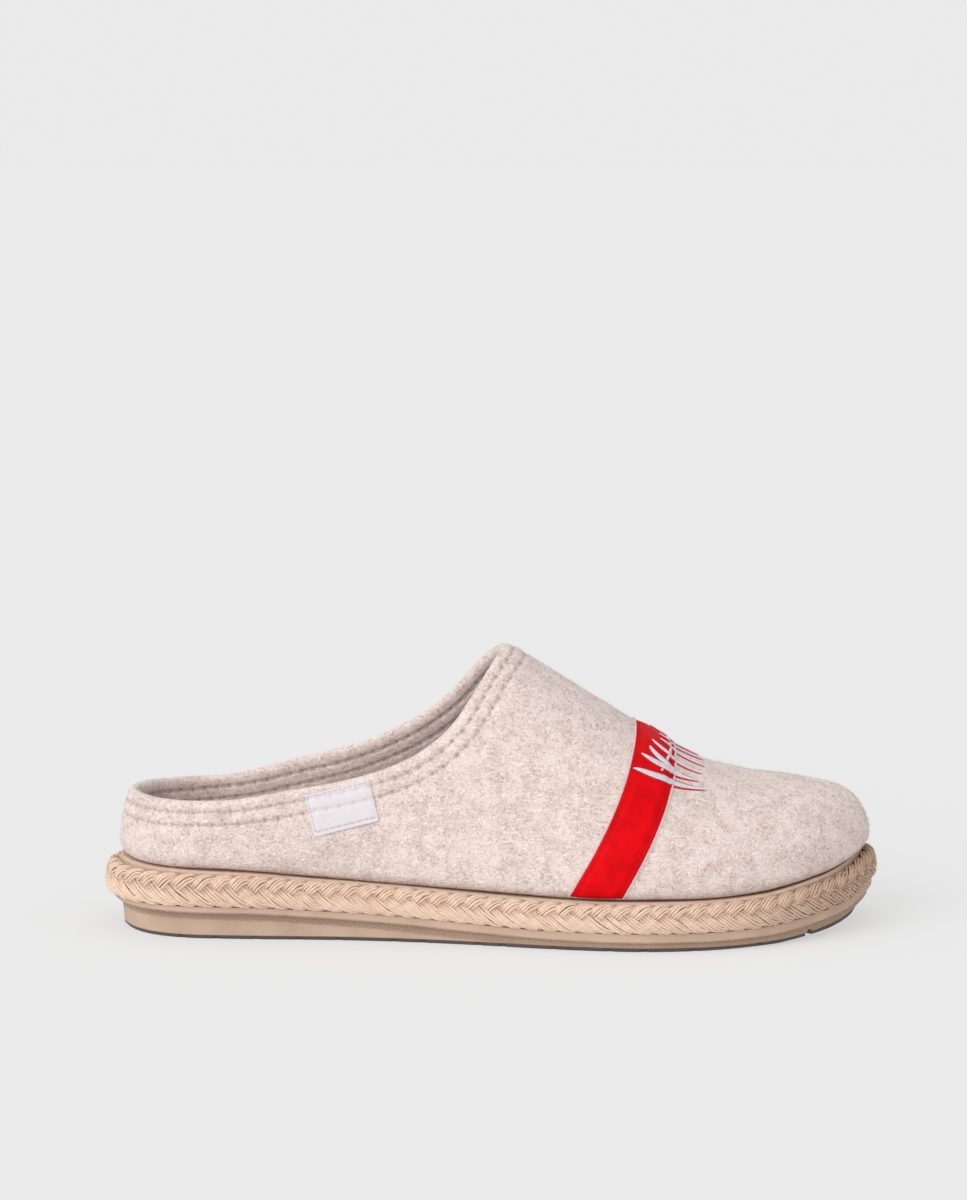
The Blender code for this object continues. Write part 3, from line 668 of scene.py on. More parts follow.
def on_band(along, up, lift):
    """Points over the core's wall: a length round it, a length up the band's section, and a height off it."""
    index = (along % core_round) / core_round * BAND_POINTS
    up = np.broadcast_to(up, along.shape)
    ring = np.vstack((core_foot, core_foot[:1]))
    walls = np.vstack((core_normal, core_normal[:1]))
    places = np.arange(BAND_POINTS + 1)
    foot, wall = read_at(index, places, ring), read_at(index, places, walls)
    low = np.clip(up, 0, section_lengths[-1])
    at, face, slope = (
        read_at(low, section_fine, rows).T for rows in (section_line, section_normal, section_slope))
    out, rise = at + face * lift + slope * (up - low)
    height = np.interp(foot[:, 0] / SOLE_LENGTH + 0.5, BAND_HEIGHTS[:, 0], BAND_HEIGHTS[:, 1])
    rise = rise * height / BAND_SECTION[:, 1].max()
    return foot + wall * (out + CORE_GAP)[:, None] + np.array((0, 0, 1)) * rise[:, None]


def mark(mesh, name, values):
    """Keeps a number on each corner of a mesh, for its shader to read."""
    mesh.attributes.new(name, "FLOAT", "POINT").data.foreach_set("value", values)


def jute_material():
    """Soft single yarns: long fibres run with the yarn, each yarn a tone of its own, with painted shade where
    it passes under the other strands and along the upper row.
    """
    made, tree, shader = new_material("Jute yarn")
    along = node(tree, "UVMap", uv_map="UVMap").outputs[0]
    place = own_place(tree)
    own = node(tree, "Attribute", attribute_name="yarn_shade").outputs["Fac"]
    under_shade = node(tree, "Attribute", attribute_name="yarn_painted_shade").outputs["Fac"]
    laid = node(tree, "Mapping", {"Vector": along, "Scale": (FIBRES_ALONG, FIBRES_ROUND, 1)}).outputs[0]
    parts = node(tree, "SeparateXYZ", {0: laid})
    twist = calc(tree, "MULTIPLY_ADD", parts.outputs[0], FIBRE_TWIST, parts.outputs[1])
    laid = node(tree, "CombineXYZ", {0: parts.outputs[0], 1: twist}).outputs[0]
    fibres = noisy(tree, laid, 1.0, 4, 0.7)
    patches = noisy(tree, place, 120, 3)
    tan = mixed(tree, ranged(tree, fibres, 0.32, 0.66), JUTE_TAN, JUTE_LIGHT)
    tan = mixed(tree, ranged(tree, own, 0.0, 1.0, 0.0, 0.4), tan, JUTE_TAN)
    tan = mixed(tree, ranged(tree, patches, 0.45, 0.75, 0.0, 0.3), tan, JUTE_TAN)
    # Darker and browner towards the toe.
    toe = ranged(tree, node(tree, "SeparateXYZ", {0: place}).outputs[0], 60 * MM, 135 * MM, 0.0, 0.7)
    tan = mixed(tree, toe, tan, JUTE_TOE)
    set_inputs(shader, Base_Color=mixed(tree, under_shade, tan, JUTE_SHADE_PAINT), Roughness=0.75, Specular_IOR_Level=0.25,
               Sheen_Weight=0.1)
    bump(tree, shader, fibres, 0.18 * MM, 0.9)
    return made


jute = jute_material()
lobes = STRANDS * round(core_round / LOBE_PITCH / STRANDS)
plait_period = core_round / lobes * STRANDS
rng = np.random.default_rng(11)
for strand in range(STRANDS):
    curve = bpy.data.curves.new("yarns", "CURVE")
    curve.dimensions = "3D"
    curve.bevel_depth = YARN_RADIUS
    curve.bevel_resolution = 1
    count = int(core_round * 1.25 / YARN_STEP)
    shades, under_shades = [], []
    for yarn in range(YARNS):
        place = yarn - (YARNS - 1) / 2
        run = np.arange(count) / count * core_round
        turn = 2 * math.pi * (run / plait_period + strand / STRANDS)
        swing = np.sin(turn)
        reach = np.where(swing > 0, UPPER_REACH, LOWER_REACH)
        up = swing * reach
        climb = np.cos(turn) * reach * 2 * math.pi / plait_period
        stretch = np.sqrt(1 + climb ** 2)
        jitter = np.interp(run, np.linspace(0, core_round, 160, endpoint=False), rng.normal(0, 0.10 * MM, 160),
                           period=core_round)
        side = place * YARN_SPACING + jitter
        along = run - side * climb / stretch - PLAIT_SHEAR * up
        up = VEE_LINE + up + side / stretch
        over = np.tanh(1.7 * np.sin(2 * turn)) / math.tanh(1.7)
        lift = WEAVE_LIFT * over - STRAND_CROWN * (2 * place / (YARNS - 1)) ** 2
        points = on_band(along, up, lift)
        spline = curve.splines.new("POLY")
        spline.points.add(count - 1)
        spline.use_cyclic_u = True
        spline.points.foreach_set("co", np.column_stack((points, np.ones(count))).ravel())
        thick = np.interp(run, np.linspace(0, core_round, 90, endpoint=False), rng.uniform(0.82, 1.12, 90),
                          period=core_round)
        spline.points.foreach_set("radius", thick)
        shades.append(rng.uniform())
        # Painted shade: darker where the yarn passes under the other strands, and a little over the upper row.
        under_shades.append(np.clip(0.55 - 0.75 * over, 0.0, 0.9) + UPPER_ROW_SHADE * np.clip(swing, 0, 1) ** 2)
    tubes = worked(placed(f"jute_strand_{strand + 1}", curve))
    mesh = tubes.data
    sides = len(mesh.vertices) // (count * YARNS)
    mark(mesh, "yarn_shade", np.repeat(shades, count * sides))
    mark(mesh, "yarn_painted_shade", np.repeat(np.concatenate(under_shades), sides))
    mesh.shade_smooth()
    mesh.materials.clear()
    mesh.materials.append(jute)
    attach(tubes, "root")
    if strand == 0:
        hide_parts("jute_braid")


# Loose jute fibres. Soft jute sheds: fine pale ends stand off the plait all round and hang over the lip.
FIBRE_COUNT = 1500
FIBRE_RADIUS = 0.05 * MM
FIBRE_PALE = (0.93, 0.76, 0.60, 1)
fibre_rng = np.random.default_rng(21)
fibre_lines = []
for _ in range(FIBRE_COUNT):
    start, up = fibre_rng.uniform(0, core_round), fibre_rng.uniform(1.5 * MM, 12.5 * MM)
    run, climb = fibre_rng.normal(0, 2.2 * MM), fibre_rng.normal(-0.3 * MM, 1.3 * MM)
    shares = np.array((0.0, 0.35, 0.7, 1.0))
    lift = 0.2 * MM + fibre_rng.uniform(0.5, 1.3) * MM * np.array((0.0, 0.6, 0.9, 1.0))
    fibre_lines.append(on_band(start + run * shares, up + climb * shares ** 1.5, lift))
jute_fibres = threads("jute_fibres", fibre_lines, FIBRE_RADIUS, 0)
fibre_jute, tree, shader = new_material("Jute fibre")
set_inputs(shader, Base_Color=FIBRE_PALE, Roughness=0.7)
jute_fibres.data.materials.append(fibre_jute)
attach(jute_fibres, "root")


# Painted shade behind the plait: a dark brown sheet sunk under the yarns, which shows through the plait's small
# gaps as their shadow.
GAP_SHADOW_SINK = 1.5 * MM
GAP_SHADOW_DARK = (0.16, 0.085, 0.045, 1)
GAP_SHADOW_BROWN = (0.34, 0.20, 0.115, 1)
gap_shadow_bm = bmesh.new()
bmesh.ops.create_grid(gap_shadow_bm, x_segments=400, y_segments=12, size=0.5)
for vert in list(gap_shadow_bm.verts):
    along = np.array([(vert.co.x + 0.5) * core_round])
    up = np.array([0.6 * MM + (vert.co.y + 0.5) * (section_lengths[-1] - 1.2 * MM)])
    vert.co = on_band(along, up, np.array([-GAP_SHADOW_SINK]))[0]
bmesh.ops.remove_doubles(gap_shadow_bm, verts=gap_shadow_bm.verts, dist=0.05 * MM)
bmesh.ops.recalc_face_normals(gap_shadow_bm, faces=gap_shadow_bm.faces)
bmesh.ops.solidify(gap_shadow_bm, geom=gap_shadow_bm.faces, thickness=0.3 * MM)
gap_shadow = placed("plait_gap_shadow", mesh_of(gap_shadow_bm, "plait_gap_shadow"))
gap_shadow_paint, tree, shader = new_material("Plait gap shadow")
tangle = noisy(tree, own_place(tree), 700, 3)
set_inputs(shader, Base_Color=mixed(tree, tangle, GAP_SHADOW_DARK, GAP_SHADOW_BROWN), Roughness=0.9)
bump(tree, shader, tangle, 0.3 * MM)
gap_shadow.data.materials.append(gap_shadow_paint)
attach(gap_shadow, "root")


# Footbed. A foam insole covered in the same felt, a little darker, lying inside the shell: dished under the
# heel and raised towards its edge.
HEEL_DISH = 1.5 * MM
BED_SWELL = 0.3 * MM
insole = placed("felt_footbed", mesh_of(welded("insole"), "felt_footbed"))
rounding = insole.modifiers.new("Rounding", "SUBSURF")
rounding.levels = rounding.render_levels = 3
insole = worked(insole)
bm = editable(insole)
bm.normal_update()
for vert in [vert for vert in bm.verts if vert.normal.z > 0.6]:
    off = ((vert.co.x + 92 * MM) / (26 * MM)) ** 2 + (vert.co.y / (20 * MM)) ** 2
    vert.co.z -= HEEL_DISH * math.exp(-off) + BED_SWELL * (0.5 + 0.5 * noise.noise(vert.co / (18 * MM)))
insole.data = mesh_of(bm, "felt_footbed")
insole.data.materials.append(wool_material("Footbed felt", 1.1, 0.80))
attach(insole, "root")
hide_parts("insole")


# Instep ribbon. A woven red ribbon with a short soft pile, 15 mm wide, laid over the vamp and sewn down by a
# line of stitches inside each edge, so that it puffs a little between them. Tiny pink loops trim its edges.
RIBBON_ALONG = 150
RIBBON_ACROSS = 24
RIBBON_REST = 0.25 * MM
RIBBON_PUFF = 0.55 * MM
RIBBON_SEAM = 1.5 * MM
RIBBON_STITCHES = 62
TRIM_THREAD = 0.13 * MM
PICOT_PITCH = 0.8 * MM
PICOT_SIZE = (0.34 * MM, 0.34 * MM, 0.26 * MM)
PICOT_OUT = 0.45 * MM
PICOT_LIFT = 0.6 * MM
RIBBON_RED = (0.74, 0.0015, 0.005, 1)
RIBBON_DEEP = (0.60, 0.001, 0.004, 1)
RIBBON_LIGHT = (0.86, 0.04, 0.05, 1)
SEAM_RED = (0.40, 0.002, 0.006, 1)
PICOT_PINK = (0.93, 0.66, 0.71, 1)


def rim_sides(node_name):
    """The four edges of a thin flat node's outer face, as lines that run on round it."""
    bm = welded(node_name)
    heart = Vector((0, 0, 30 * MM))

    def outward(face):
        middle = face.calc_center_median()
        return face.normal.dot((middle - Vector((middle.x, heart.y, heart.z))).normalized())

    rim = [edge for edge in bm.edges if len(edge.link_faces) == 2
           and max(outward(face) for face in edge.link_faces) > 0.55
           and math.degrees(edge.calc_face_angle(0)) > 60]
    loop = max(closed_loops(rim), key=len)
    bm.free()
    before, after = unit(loop - np.roll(loop, 1, axis=0)), unit(np.roll(loop, -1, axis=0) - loop)
    corners = sorted(np.argsort((before * after).sum(axis=1))[:4])
    sides = []
    for start, end in zip(corners, corners[1:] + [corners[0] + len(loop)]):
        sides.append(np.array([loop[i % len(loop)] for i in range(start, end + 1)]))
    return sides


def resampled(line, count):
    """Open line with evenly spaced points, softened between its ends."""
    lengths = lengths_along(line)
    return softened(read_at(np.linspace(0, lengths[-1], count), lengths, line), max(count // 30, 1) * 4)


def turned_along(line, axis):
    """The line, turned round if it runs against an axis."""
    return line[::-1] if line[0][axis] > line[-1][axis] else line


class Strip:
    """Place for a flat trim on the felt, between two lines that run along it."""

    def __init__(self, first, second, steps):
        self.steps = steps
        self.first, self.second = resampled(first, steps + 1), resampled(second, steps + 1)
        self.run = unit(np.gradient((self.first + self.second) / 2, axis=0))
        self.over = unit(self.second - self.first)
        self.inward = unit(np.cross(self.run, self.over))
        self.centre = (self.first[steps // 2] + self.second[steps // 2]) / 2
        if self.inward[steps // 2] @ (np.array((self.centre[0], 0, 30 * MM)) - self.centre) < 0:
            self.inward = -self.inward
        self.width = float(np.linalg.norm(self.second - self.first, axis=1).mean())
        self.length = float(np.linalg.norm(np.diff(self.first, axis=0), axis=1).sum())

    def cast(self, faces, share, place):
        """Where a share across and a share along land on a piece, and the piece's normal there."""
        index = min(round(place * self.steps), self.steps)
        point = self.first[index] + (self.second[index] - self.first[index]) * share
        inward = Vector(self.inward[index])
        return cast(faces, Vector(point) - inward * 4 * MM, inward, 12 * MM)

    def sheet(self, across, height):
        """Open sheet over the strip; height gives its rise at a share across and a share along."""
        bm = bmesh.new()
        bmesh.ops.create_grid(bm, x_segments=across, y_segments=self.steps, size=0.5)
        for vert in bm.verts:
            share, place = vert.co.x + 0.5, vert.co.y + 0.5
            spot, _ = self.cast(felt_faces, share, place)
            index = min(round(place * self.steps), self.steps)
            vert.co = spot - Vector(self.inward[index]) * height(share, place)
        bmesh.ops.recalc_face_normals(bm, faces=bm.faces)
        middle_face = min(bm.faces, key=lambda face: (face.calc_center_median() - Vector(self.centre)).length)
        if middle_face.normal.dot(Vector(self.inward[self.steps // 2])) > 0:
            bmesh.ops.reverse_faces(bm, faces=bm.faces)
        return bm

    def seam(self, faces, start, end, count, rise, sink):
        """Running stitches between two places, each a share across and a share along."""
        spots = [self.cast(faces, start[0] + (end[0] - start[0]) * part, start[1] + (end[1] - start[1]) * part)
                 for part in np.linspace(0, 1, 3 * count + 1)]
        line, normals = (np.array(column) for column in zip(*spots))
        return sewn(line, normals, count, rise, sink)


def thickened(name, sheet, thickness):
    """Sheet made a closed cloth of some thickness, below its face."""
    cloth = placed(name, mesh_of(sheet, name))
    wall = cloth.modifiers.new("Thickness", "SOLIDIFY")
    wall.thickness = thickness
    wall.offset = -1
    return worked(cloth)


def joined_copies(name, shape, places):
    """One mesh of many copies of a small closed shape, each set by a 4 x 4 matrix of its own."""
    corners = np.array([vert.co for vert in shape.verts])
    faces = np.array([[vert.index for vert in face.verts] for face in shape.faces])
    shape.free()
    places = np.array(places)
    spots = np.einsum("nij,vj->nvi", places[:, :3, :3], corners) + places[:, None, :3, 3]
    loops = (faces[None] + np.arange(len(places))[:, None, None] * len(corners)).ravel()
    mesh = bpy.data.meshes.new(name)
    mesh.vertices.add(len(places) * len(corners))
    mesh.vertices.foreach_set("co", spots.ravel())
    mesh.loops.add(len(loops))
    mesh.loops.foreach_set("vertex_index", loops)
    mesh.polygons.add(len(loops) // faces.shape[1])
    mesh.polygons.foreach_set("loop_start", np.arange(0, len(loops), faces.shape[1]))
    mesh.update(calc_edges=True)
    mesh.shade_smooth()
    return placed(name, mesh)


long_sides = sorted(rim_sides("instep_ribbon"), key=len)[2:]
back, front = sorted(long_sides, key=lambda line: line[:, 0].mean())
ribbon_strip = Strip(turned_along(back, 1), turned_along(front, 1), RIBBON_ALONG)


def ribbon_height(share, place):
    inset = min(share, 1 - share) * ribbon_strip.width
    puff = min(max((inset - RIBBON_SEAM) / (2.2 * MM), 0.0), 1.0)
    edge = min(inset / (0.6 * MM), 1.0)
    seam = math.exp(-((inset - RIBBON_SEAM) / (0.40 * MM)) ** 2)
    pucker = 0.06 * MM * math.sin(place * RIBBON_STITCHES * 2 * math.pi) * (1 - puff)
    wave = noise.noise(Vector((share * 2, place * 14, 0))) * 0.10 * MM
    return RIBBON_REST + 0.2 * MM * edge + RIBBON_PUFF * puff ** 0.6 + wave * puff + pucker - 0.22 * MM * seam


ribbon = thickened("instep_ribbon_cloth", ribbon_strip.sheet(RIBBON_ACROSS, ribbon_height), 0.35 * MM)


def ribbon_material():
    made, tree, shader = new_material("Red ribbon pile")
    place = own_place(tree)
    nap = noisy(tree, place, 2600, 2)
    brushed = noisy(tree, place, 160, 3)
    red = mixed(tree, ranged(tree, brushed, 0.35, 0.7), RIBBON_RED, RIBBON_DEEP)
    red = mixed(tree, ranged(tree, nap, 0.66, 0.80, 0.0, 0.35), red, RIBBON_LIGHT)
    set_inputs(shader, Base_Color=red, Roughness=0.6, Specular_IOR_Level=0.06, Sheen_Weight=0.22,
               Sheen_Roughness=0.22, Sheen_Tint=(1.0, 0.30, 0.45, 1))
    bump(tree, shader, nap, 0.10 * MM, 0.5)
    return made


ribbon.data.materials.append(ribbon_material())
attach(ribbon, "root")
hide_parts("instep_ribbon")

ribbon_faces = faces_of(ribbon)
inset = RIBBON_SEAM / ribbon_strip.width
ribbon_seams = []
for share in (inset, 1 - inset):
    ribbon_seams += ribbon_strip.seam(ribbon_faces, (share, 0.01), (share, 0.99), RIBBON_STITCHES,
                                      0.10 * MM, 0.35 * MM)
ribbon_stitches = threads("ribbon_stitches", ribbon_seams, TRIM_THREAD)
ribbon_stitches.data.materials.append(cord_material("Red thread", SEAM_RED, 0.6, 0.0))
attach(ribbon_stitches, "root")

picots = []
for edge in (ribbon_strip.first, ribbon_strip.second):
    outward = ribbon_strip.over * (-1 if edge is ribbon_strip.first else 1)
    for place in np.arange(0.5 * PICOT_PITCH, ribbon_strip.length, PICOT_PITCH) / ribbon_strip.length:
        at = place * RIBBON_ALONG
        index = min(round(at), RIBBON_ALONG)
        spot = np.array([np.interp(at, np.arange(RIBBON_ALONG + 1), column) for column in edge.T])
        run, over, inward = (Vector(rows[index]) for rows in (
            ribbon_strip.run, ribbon_strip.over, ribbon_strip.inward))
        spot = Vector(spot + outward[index] * PICOT_OUT)
        felt_spot, _ = cast(felt_faces, spot - inward * 4 * MM, inward, 12 * MM)
        turned = Matrix((run, over, -inward)).transposed() @ Matrix.Diagonal(PICOT_SIZE)
        picots.append(Matrix.Translation(felt_spot - inward * PICOT_LIFT) @ turned.to_4x4())
bead = bmesh.new()
bmesh.ops.create_icosphere(bead, subdivisions=1, radius=1)
ribbon_picots = joined_copies("ribbon_picots", bead, picots)
ribbon_picots.data.materials.append(cord_material("Pink edge thread", PICOT_PINK, 0.5, 0.3))
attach(ribbon_picots, "root")


# Side tag. A small folded tag of white satin, left blank, sewn to the outer side along its edges.
TAG_ALONG = 60
TAG_ACROSS = 36
TAG_REST = 0.3 * MM
TAG_PUFF = 0.35 * MM
TAG_SEAM = 1.5 * MM
TAG_FOLD = 0.25 * MM
SATIN_WHITE = (0.76, 0.71, 0.73, 1)
SATIN_SHADE = (0.65, 0.60, 0.625, 1)
THREAD_GREY = (0.56, 0.52, 0.56, 1)
tag_sides = rim_sides("side_tag")
tag_bottom, _, _, tag_top = sorted(tag_sides, key=lambda line: line[:, 2].mean())
tag_strip = Strip(turned_along(tag_bottom, 0), turned_along(tag_top, 0), TAG_ALONG)


def tag_rise(share, place):
    above, beside = min(share, 1 - share) * tag_strip.width, min(place, 1 - place) * tag_strip.length
    puff = min(min(above, beside) / (2.5 * MM), 1.0)
    seam = math.exp(-((share * tag_strip.width - TAG_SEAM) / (0.35 * MM)) ** 2)
    fold = math.exp(-(share * tag_strip.width / (0.5 * MM)) ** 2)
    ripple = noise.noise(Vector((share * 3, place * 5, 2))) * 0.12 * MM
    rise = TAG_REST + TAG_PUFF * math.sin(puff * math.pi / 2) + ripple * puff
    return rise + (TAG_FOLD * fold - 0.2 * MM * seam) * min(beside / (0.8 * MM), 1.0)


tag = thickened("side_tag_satin", tag_strip.sheet(TAG_ACROSS, tag_rise), 0.5 * MM)


def satin_material():
    made, tree, shader = new_material("White satin")
    place = own_place(tree)
    laid = node(tree, "Mapping", {"Vector": place, "Scale": (700, 700, 3200)}).outputs[0]
    weft = noisy(tree, laid, 1.0, 2)
    set_inputs(shader, Base_Color=mixed(tree, weft, SATIN_SHADE, SATIN_WHITE), Roughness=0.42,
               Specular_IOR_Level=0.35, Sheen_Weight=0.05)
    bump(tree, shader, weft, 0.05 * MM, 0.7)
    return made


tag.data.materials.append(satin_material())
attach(tag, "root")
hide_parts("side_tag")

tag_faces = faces_of(tag)
low, high = TAG_SEAM / tag_strip.width, 1 - 0.7 * MM / tag_strip.width
left, right = 0.7 * MM / tag_strip.length, 1 - 0.7 * MM / tag_strip.length
tag_seams = []
for start, end, count, rise in (
        ((low, left), (low, right), 9, 0.12 * MM),
        ((high, left), (high, right), 12, 0.05 * MM),
        ((low, left), (high, left), 8, 0.05 * MM),
):
    tag_seams += tag_strip.seam(tag_faces, start, end, count, rise, 0.3 * MM)
tag_stitches = threads("tag_stitches", tag_seams, TRIM_THREAD)
tag_stitches.data.materials.append(cord_material("Grey thread", THREAD_GREY, 0.5, 0.0))
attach(tag_stitches, "root")


# Embroidery. A garland of slender leaves along the ribbon's front edge, across the top of the foot: each leaf
# is filled with white satin stitch and edged with red, machine-sewn through ribbon and felt.
STEM_MIDDLE = 61 * MM
STEM_DROP = 4 * MM
STEM_REACH = 26 * MM
VAMP_AXIS = 25 * MM
VAMP_RADIUS = 42 * MM
SATIN_PITCH = 0.32 * MM
SATIN_THREAD = 0.19 * MM
LEAF_PUFF = 0.42 * MM
STEM_PUFF = 0.15 * MM
LEAF_EDGE = 1.1 * MM
LEAF_RIM = 0.5 * MM
THREAD_WHITE = (0.84, 0.82, 0.87, 1)
THREAD_RED = (0.70, 0.006, 0.014, 1)
LEAVES = (
    # foot along the shoe, foot across from the middle, length, width, heading from outward to the toe, bend
    (57 * MM, 3 * MM, 16 * MM, 2.6 * MM, 78, -8),
    (54 * MM, 9 * MM, 19 * MM, 2.8 * MM, 66, 16),
    (53 * MM, 15 * MM, 14 * MM, 3.0 * MM, 52, 18),
    (50 * MM, 21 * MM, 20 * MM, 3.4 * MM, 80, 10),
    (47 * MM, 28 * MM, 25 * MM, 3.2 * MM, 86, 10),
)


def joined_faces(*pieces):
    """One tree of the faces of several pieces."""
    corners, faces = [], []
    for piece in pieces:
        faces += [tuple(corner + len(corners) for corner in face.vertices) for face in piece.data.polygons]
        corners += [vert.co for vert in piece.data.vertices]
    return BVHTree.FromPolygons(corners, faces)


dressed_faces = joined_faces(felt, ribbon)


def on_vamp(place, lift):
    """Point over the top of the foot, from a place along the shoe and across it, measured round the vamp."""
    angle = place[1] / VAMP_RADIUS
    out = Vector((0, math.sin(angle), math.cos(angle)))
    spot, normal = cast(dressed_faces, Vector((place[0], 0, VAMP_AXIS)) + out * 80 * MM, -out, 80 * MM)
    return np.array(spot + normal * lift)


def satin_threads(lefts, rights, rise, points):
    """Threads side by side, each an arch from a left place to a right one."""
    made = []
    for left, right in zip(lefts, rights):
        shares = np.linspace(0, 1, points)
        arch = rise * np.sin(shares * math.pi) - 0.12 * MM * (abs(2 * shares - 1) > 0.99)
        made.append(np.array([on_vamp(left + (right - left) * share, lift + 0.10 * MM)
                              for share, lift in zip(shares, arch)]))
    return made


white_threads, red_threads = [], []
for mirrored in (-1, 1):
    for foot_x, foot_y, length, width, heading, bend in LEAVES:
        count = round(length / SATIN_PITCH)
        shares = (np.arange(count) + 0.5) / count
        headings = np.radians(heading + bend * (shares - 0.5) * 2)
        steps = np.column_stack((np.sin(headings), mirrored * np.cos(headings))) * length / count
        spine = np.array((foot_x, mirrored * foot_y)) + np.cumsum(steps, axis=0)
        ahead = unit(steps)
        beside = np.column_stack((-ahead[:, 1], ahead[:, 0]))
        half = (width / 2 * np.sin(np.pi * shares ** 0.85) ** 0.8)[:, None]
        slant = ahead * half * 0.55
        reach = beside * half + slant
        white_threads += satin_threads(spine - reach, spine + reach, LEAF_PUFF, 6)
        for side, rim_width in ((mirrored, LEAF_EDGE), (-mirrored, LEAF_RIM)):
            edge = spine + side * reach
            rim = side * beside * rim_width * np.minimum(1.0, half / (0.8 * half.max()))
            red_threads += satin_threads(edge - 0.25 * rim, edge + 0.75 * rim, STEM_PUFF, 3)
across = np.arange(-STEM_REACH, STEM_REACH, SATIN_PITCH)
stem = np.column_stack((STEM_MIDDLE - STEM_DROP * (across / STEM_REACH) ** 2, across))
stem_side = np.array((0.35 * MM, 0.15 * MM))
white_threads += satin_threads(stem - stem_side, stem + stem_side, STEM_PUFF, 4)
for name, lines, material in (
        ("embroidery_white", white_threads, cord_material("White silk thread", THREAD_WHITE, 0.35, 0.0)),
        ("embroidery_red", red_threads, cord_material("Red silk thread", THREAD_RED, 0.4, 0.0)),
):
    embroidery = threads(name, lines, SATIN_THREAD)
    embroidery.data.materials.append(material)
    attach(embroidery, "root")


# Felt nap. The loose ends of the wool stand off the pressed felt as a fine short fuzz, some of them brown,
# which softens every outline of the slipper; a few longer hairs stray further.
NAP_HAIRS = 44000
STRAY_HAIRS = 1500
HAIR_WIDTH = 0.07 * MM
TRIM_CLEARANCE = 1.1 * MM
CORE_CLEARANCE = 0.9 * MM
HAIR_PALE = (0.90, 0.80, 0.75, 1)
HAIR_BROWN = (0.42, 0.31, 0.265, 1)


def hair_shape():
    """Thin closed spike, a unit long, standing on the origin."""
    shape = bmesh.new()
    bmesh.ops.create_cone(shape, cap_ends=True, segments=3, radius1=0.5, radius2=0, depth=1)
    bmesh.ops.remove_doubles(shape, verts=shape.verts, dist=1e-4)
    bmesh.ops.translate(shape, verts=shape.verts, vec=(0, 0, 0.4))
    bmesh.ops.triangulate(shape, faces=shape.faces)
    return shape


def scattered(piece, count, rng):
    """Random places on a piece, evenly by area, with their normals."""
    mesh = piece.data
    mesh.calc_loop_triangles()
    corners = np.array([vert.co for vert in mesh.vertices])
    triangles = np.array([triangle.vertices for triangle in mesh.loop_triangles])
    first, second, third = (corners[triangles[:, i]] for i in range(3))
    cross = np.cross(second - first, third - first)
    areas = np.linalg.norm(cross, axis=1)
    picked = rng.choice(len(areas), count, p=areas / areas.sum())
    along, up = rng.uniform(size=(2, count, 1))
    folded = along + up > 1
    along, up = np.where(folded, 1 - along, along), np.where(folded, 1 - up, up)
    spots = first[picked] + (second[picked] - first[picked]) * along + (third[picked] - first[picked]) * up
    return spots, cross[picked] / areas[picked][:, None]


def leaning(normals, rng, least, most):
    """Directions that lean off their normals by an angle between two limits, any way round."""
    tangents = unit(np.cross(normals, rng.normal(size=normals.shape)))
    angles = np.radians(rng.uniform(least, most, (len(normals), 1)))
    return normals * np.cos(angles) + tangents * np.sin(angles)


def spikes(spots, directions, lengths, width):
    """Matrices that stand a unit spike on each spot."""
    sides = unit(np.cross(directions, (0.31, 0.52, 0.79)))
    thirds = np.cross(directions, sides)
    matrices = np.zeros((len(spots), 4, 4))
    matrices[:, :3, 0] = sides * width
    matrices[:, :3, 1] = thirds * width
    matrices[:, :3, 2] = directions * lengths[:, None]
    matrices[:, :3, 3] = spots
    matrices[:, 3, 3] = 1
    return matrices


rng = np.random.default_rng(5)
trim_faces = joined_faces(ribbon, tag)
spots, normals = scattered(felt, NAP_HAIRS + STRAY_HAIRS, rng)
directions = leaning(normals, rng, 25, 80)
lengths = rng.uniform(0.6, 1.6, len(spots)) * MM
lengths[NAP_HAIRS:] = rng.uniform(1.3, 2.6, STRAY_HAIRS) * MM
free = np.array([trim_faces.find_nearest(Vector(spot), TRIM_CLEARANCE)[0] is None
                 and core_faces.find_nearest(Vector(spot), CORE_CLEARANCE)[0] is None for spot in spots])
nap = joined_copies("felt_nap", hair_shape(), spikes(spots, directions, lengths, HAIR_WIDTH)[free])
mark(nap.data, "hair_tone", np.repeat(rng.uniform(size=free.sum()), 4))


def hair_material():
    made, tree, shader = new_material("Wool hairs")
    tone = node(tree, "Attribute", attribute_name="hair_tone").outputs["Fac"]
    pale = mixed(tree, ranged(tree, tone, 0.0, 0.7), HAIR_PALE, FELT_CREAM)
    set_inputs(shader, Base_Color=mixed(tree, ranged(tree, tone, 0.76, 0.84), pale, HAIR_BROWN), Roughness=0.85,
               Sheen_Weight=0.2, Specular_IOR_Level=0.1)
    return made


nap.data.materials.append(hair_material())
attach(nap, "root")


# Studio: a pale even floor and backdrop, wide soft lights, and a long lens low on the slipper's outer side.
BACKDROP = 0.823
GLOW_SHARE = 0.68
PAPER = 0.9
WORLD_LIGHT = 0.54
CAMERA_AIM = Vector((-0.0029, 0, 0.1117))
CAMERA_ELEVATION = math.radians(8.04)
CAMERA_DISTANCE = 1.2119
LENS = 107
LAMPS = (
    # name, azimuth, elevation, strength, spread
    ("key", -50, 35, 0.85, 40),
    ("front", -26, 12, 1.20, 60),
    ("top", 0, 80, 0.60, 90),
)

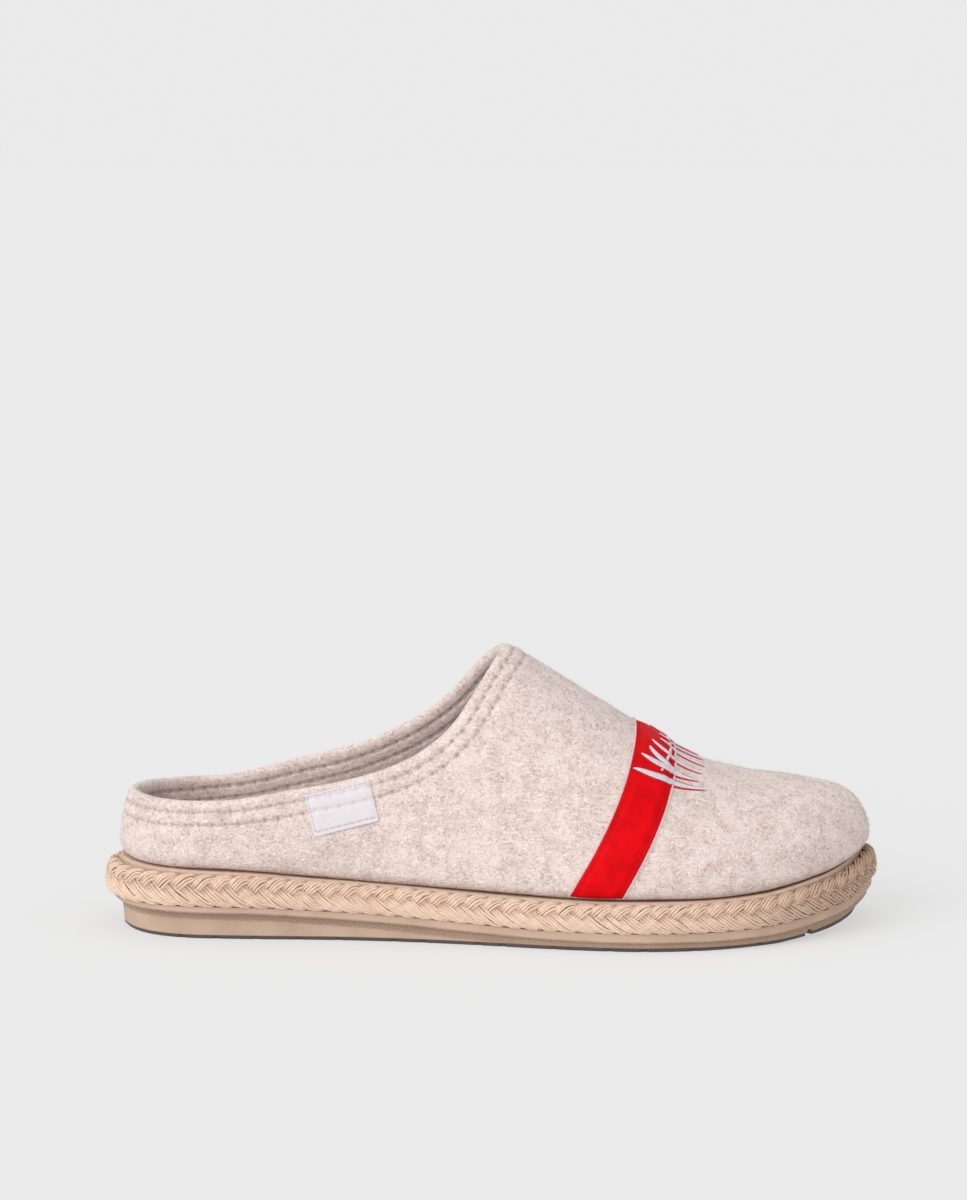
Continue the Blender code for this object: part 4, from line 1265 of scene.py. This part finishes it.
# The paper's own glow makes it, under all the lamps and the world, as bright as the backdrop behind it
floor_light = WORLD_LIGHT + sum(
    strength * math.sin(math.radians(rise)) / math.pi for _, _, rise, strength, _ in LAMPS)
paper_glow = (BACKDROP - (1 - GLOW_SHARE) * PAPER * floor_light) / GLOW_SHARE
floor_bm = bmesh.new()
bmesh.ops.create_grid(floor_bm, x_segments=1, y_segments=1, size=12)
floor = placed("floor", mesh_of(floor_bm, "floor"))
floor_paper, tree, shader = new_material("Backdrop paper")
matt = node(tree, "BsdfDiffuse", {"Color": (PAPER, PAPER, PAPER, 1)})
glow = node(tree, "Emission", {"Color": (paper_glow, paper_glow, paper_glow, 1), "Strength": 1.0})
blend = node(tree, "MixShader", {0: GLOW_SHARE, 1: matt.outputs[0], 2: glow.outputs[0]})
feed(tree.nodes["Material Output"], {"Surface": blend.outputs[0]})
floor.data.materials.append(floor_paper)

world = bpy.data.worlds.new("Studio")
bpy.context.scene.world = world
world.use_nodes = True
tree = world.node_tree
tree.nodes.clear()
seen = node(tree, "Background", {"Color": (BACKDROP, BACKDROP, BACKDROP, 1), "Strength": 1.0})
lit = node(tree, "Background", {"Color": (1.0, 1.0, 1.0, 1), "Strength": WORLD_LIGHT})
ray = node(tree, "LightPath").outputs["Is Camera Ray"]
both = node(tree, "MixShader", {0: ray, 1: lit.outputs[0], 2: seen.outputs[0]})
node(tree, "OutputWorld", {"Surface": both.outputs[0]})

for name, azimuth, elevation, strength, spread in LAMPS:
    lamp = bpy.data.lights.new(name, "SUN")
    lamp.energy = strength
    lamp.angle = math.radians(spread)
    lamp_object = bpy.data.objects.new(name, lamp)
    bpy.context.scene.collection.objects.link(lamp_object)
    turn, rise = math.radians(azimuth), math.radians(elevation)
    come_from = Vector((math.sin(turn) * math.cos(rise), -math.cos(turn) * math.cos(rise), math.sin(rise)))
    lamp_object.rotation_euler = come_from.to_track_quat("Z", "Y").to_euler()

camera_data = bpy.data.cameras.new("camera")
camera = bpy.data.objects.new("camera", camera_data)
bpy.context.scene.collection.objects.link(camera)
bpy.context.scene.camera = camera
away = Vector((0, -math.cos(CAMERA_ELEVATION), math.sin(CAMERA_ELEVATION)))
camera.location = CAMERA_AIM + away * CAMERA_DISTANCE
camera.rotation_euler = away.to_track_quat("Z", "Y").to_euler()
camera_data.lens = LENS
camera_data.sensor_fit = "VERTICAL"
camera_data.sensor_height = 36
bpy.context.scene.view_settings.view_transform = "Standard"
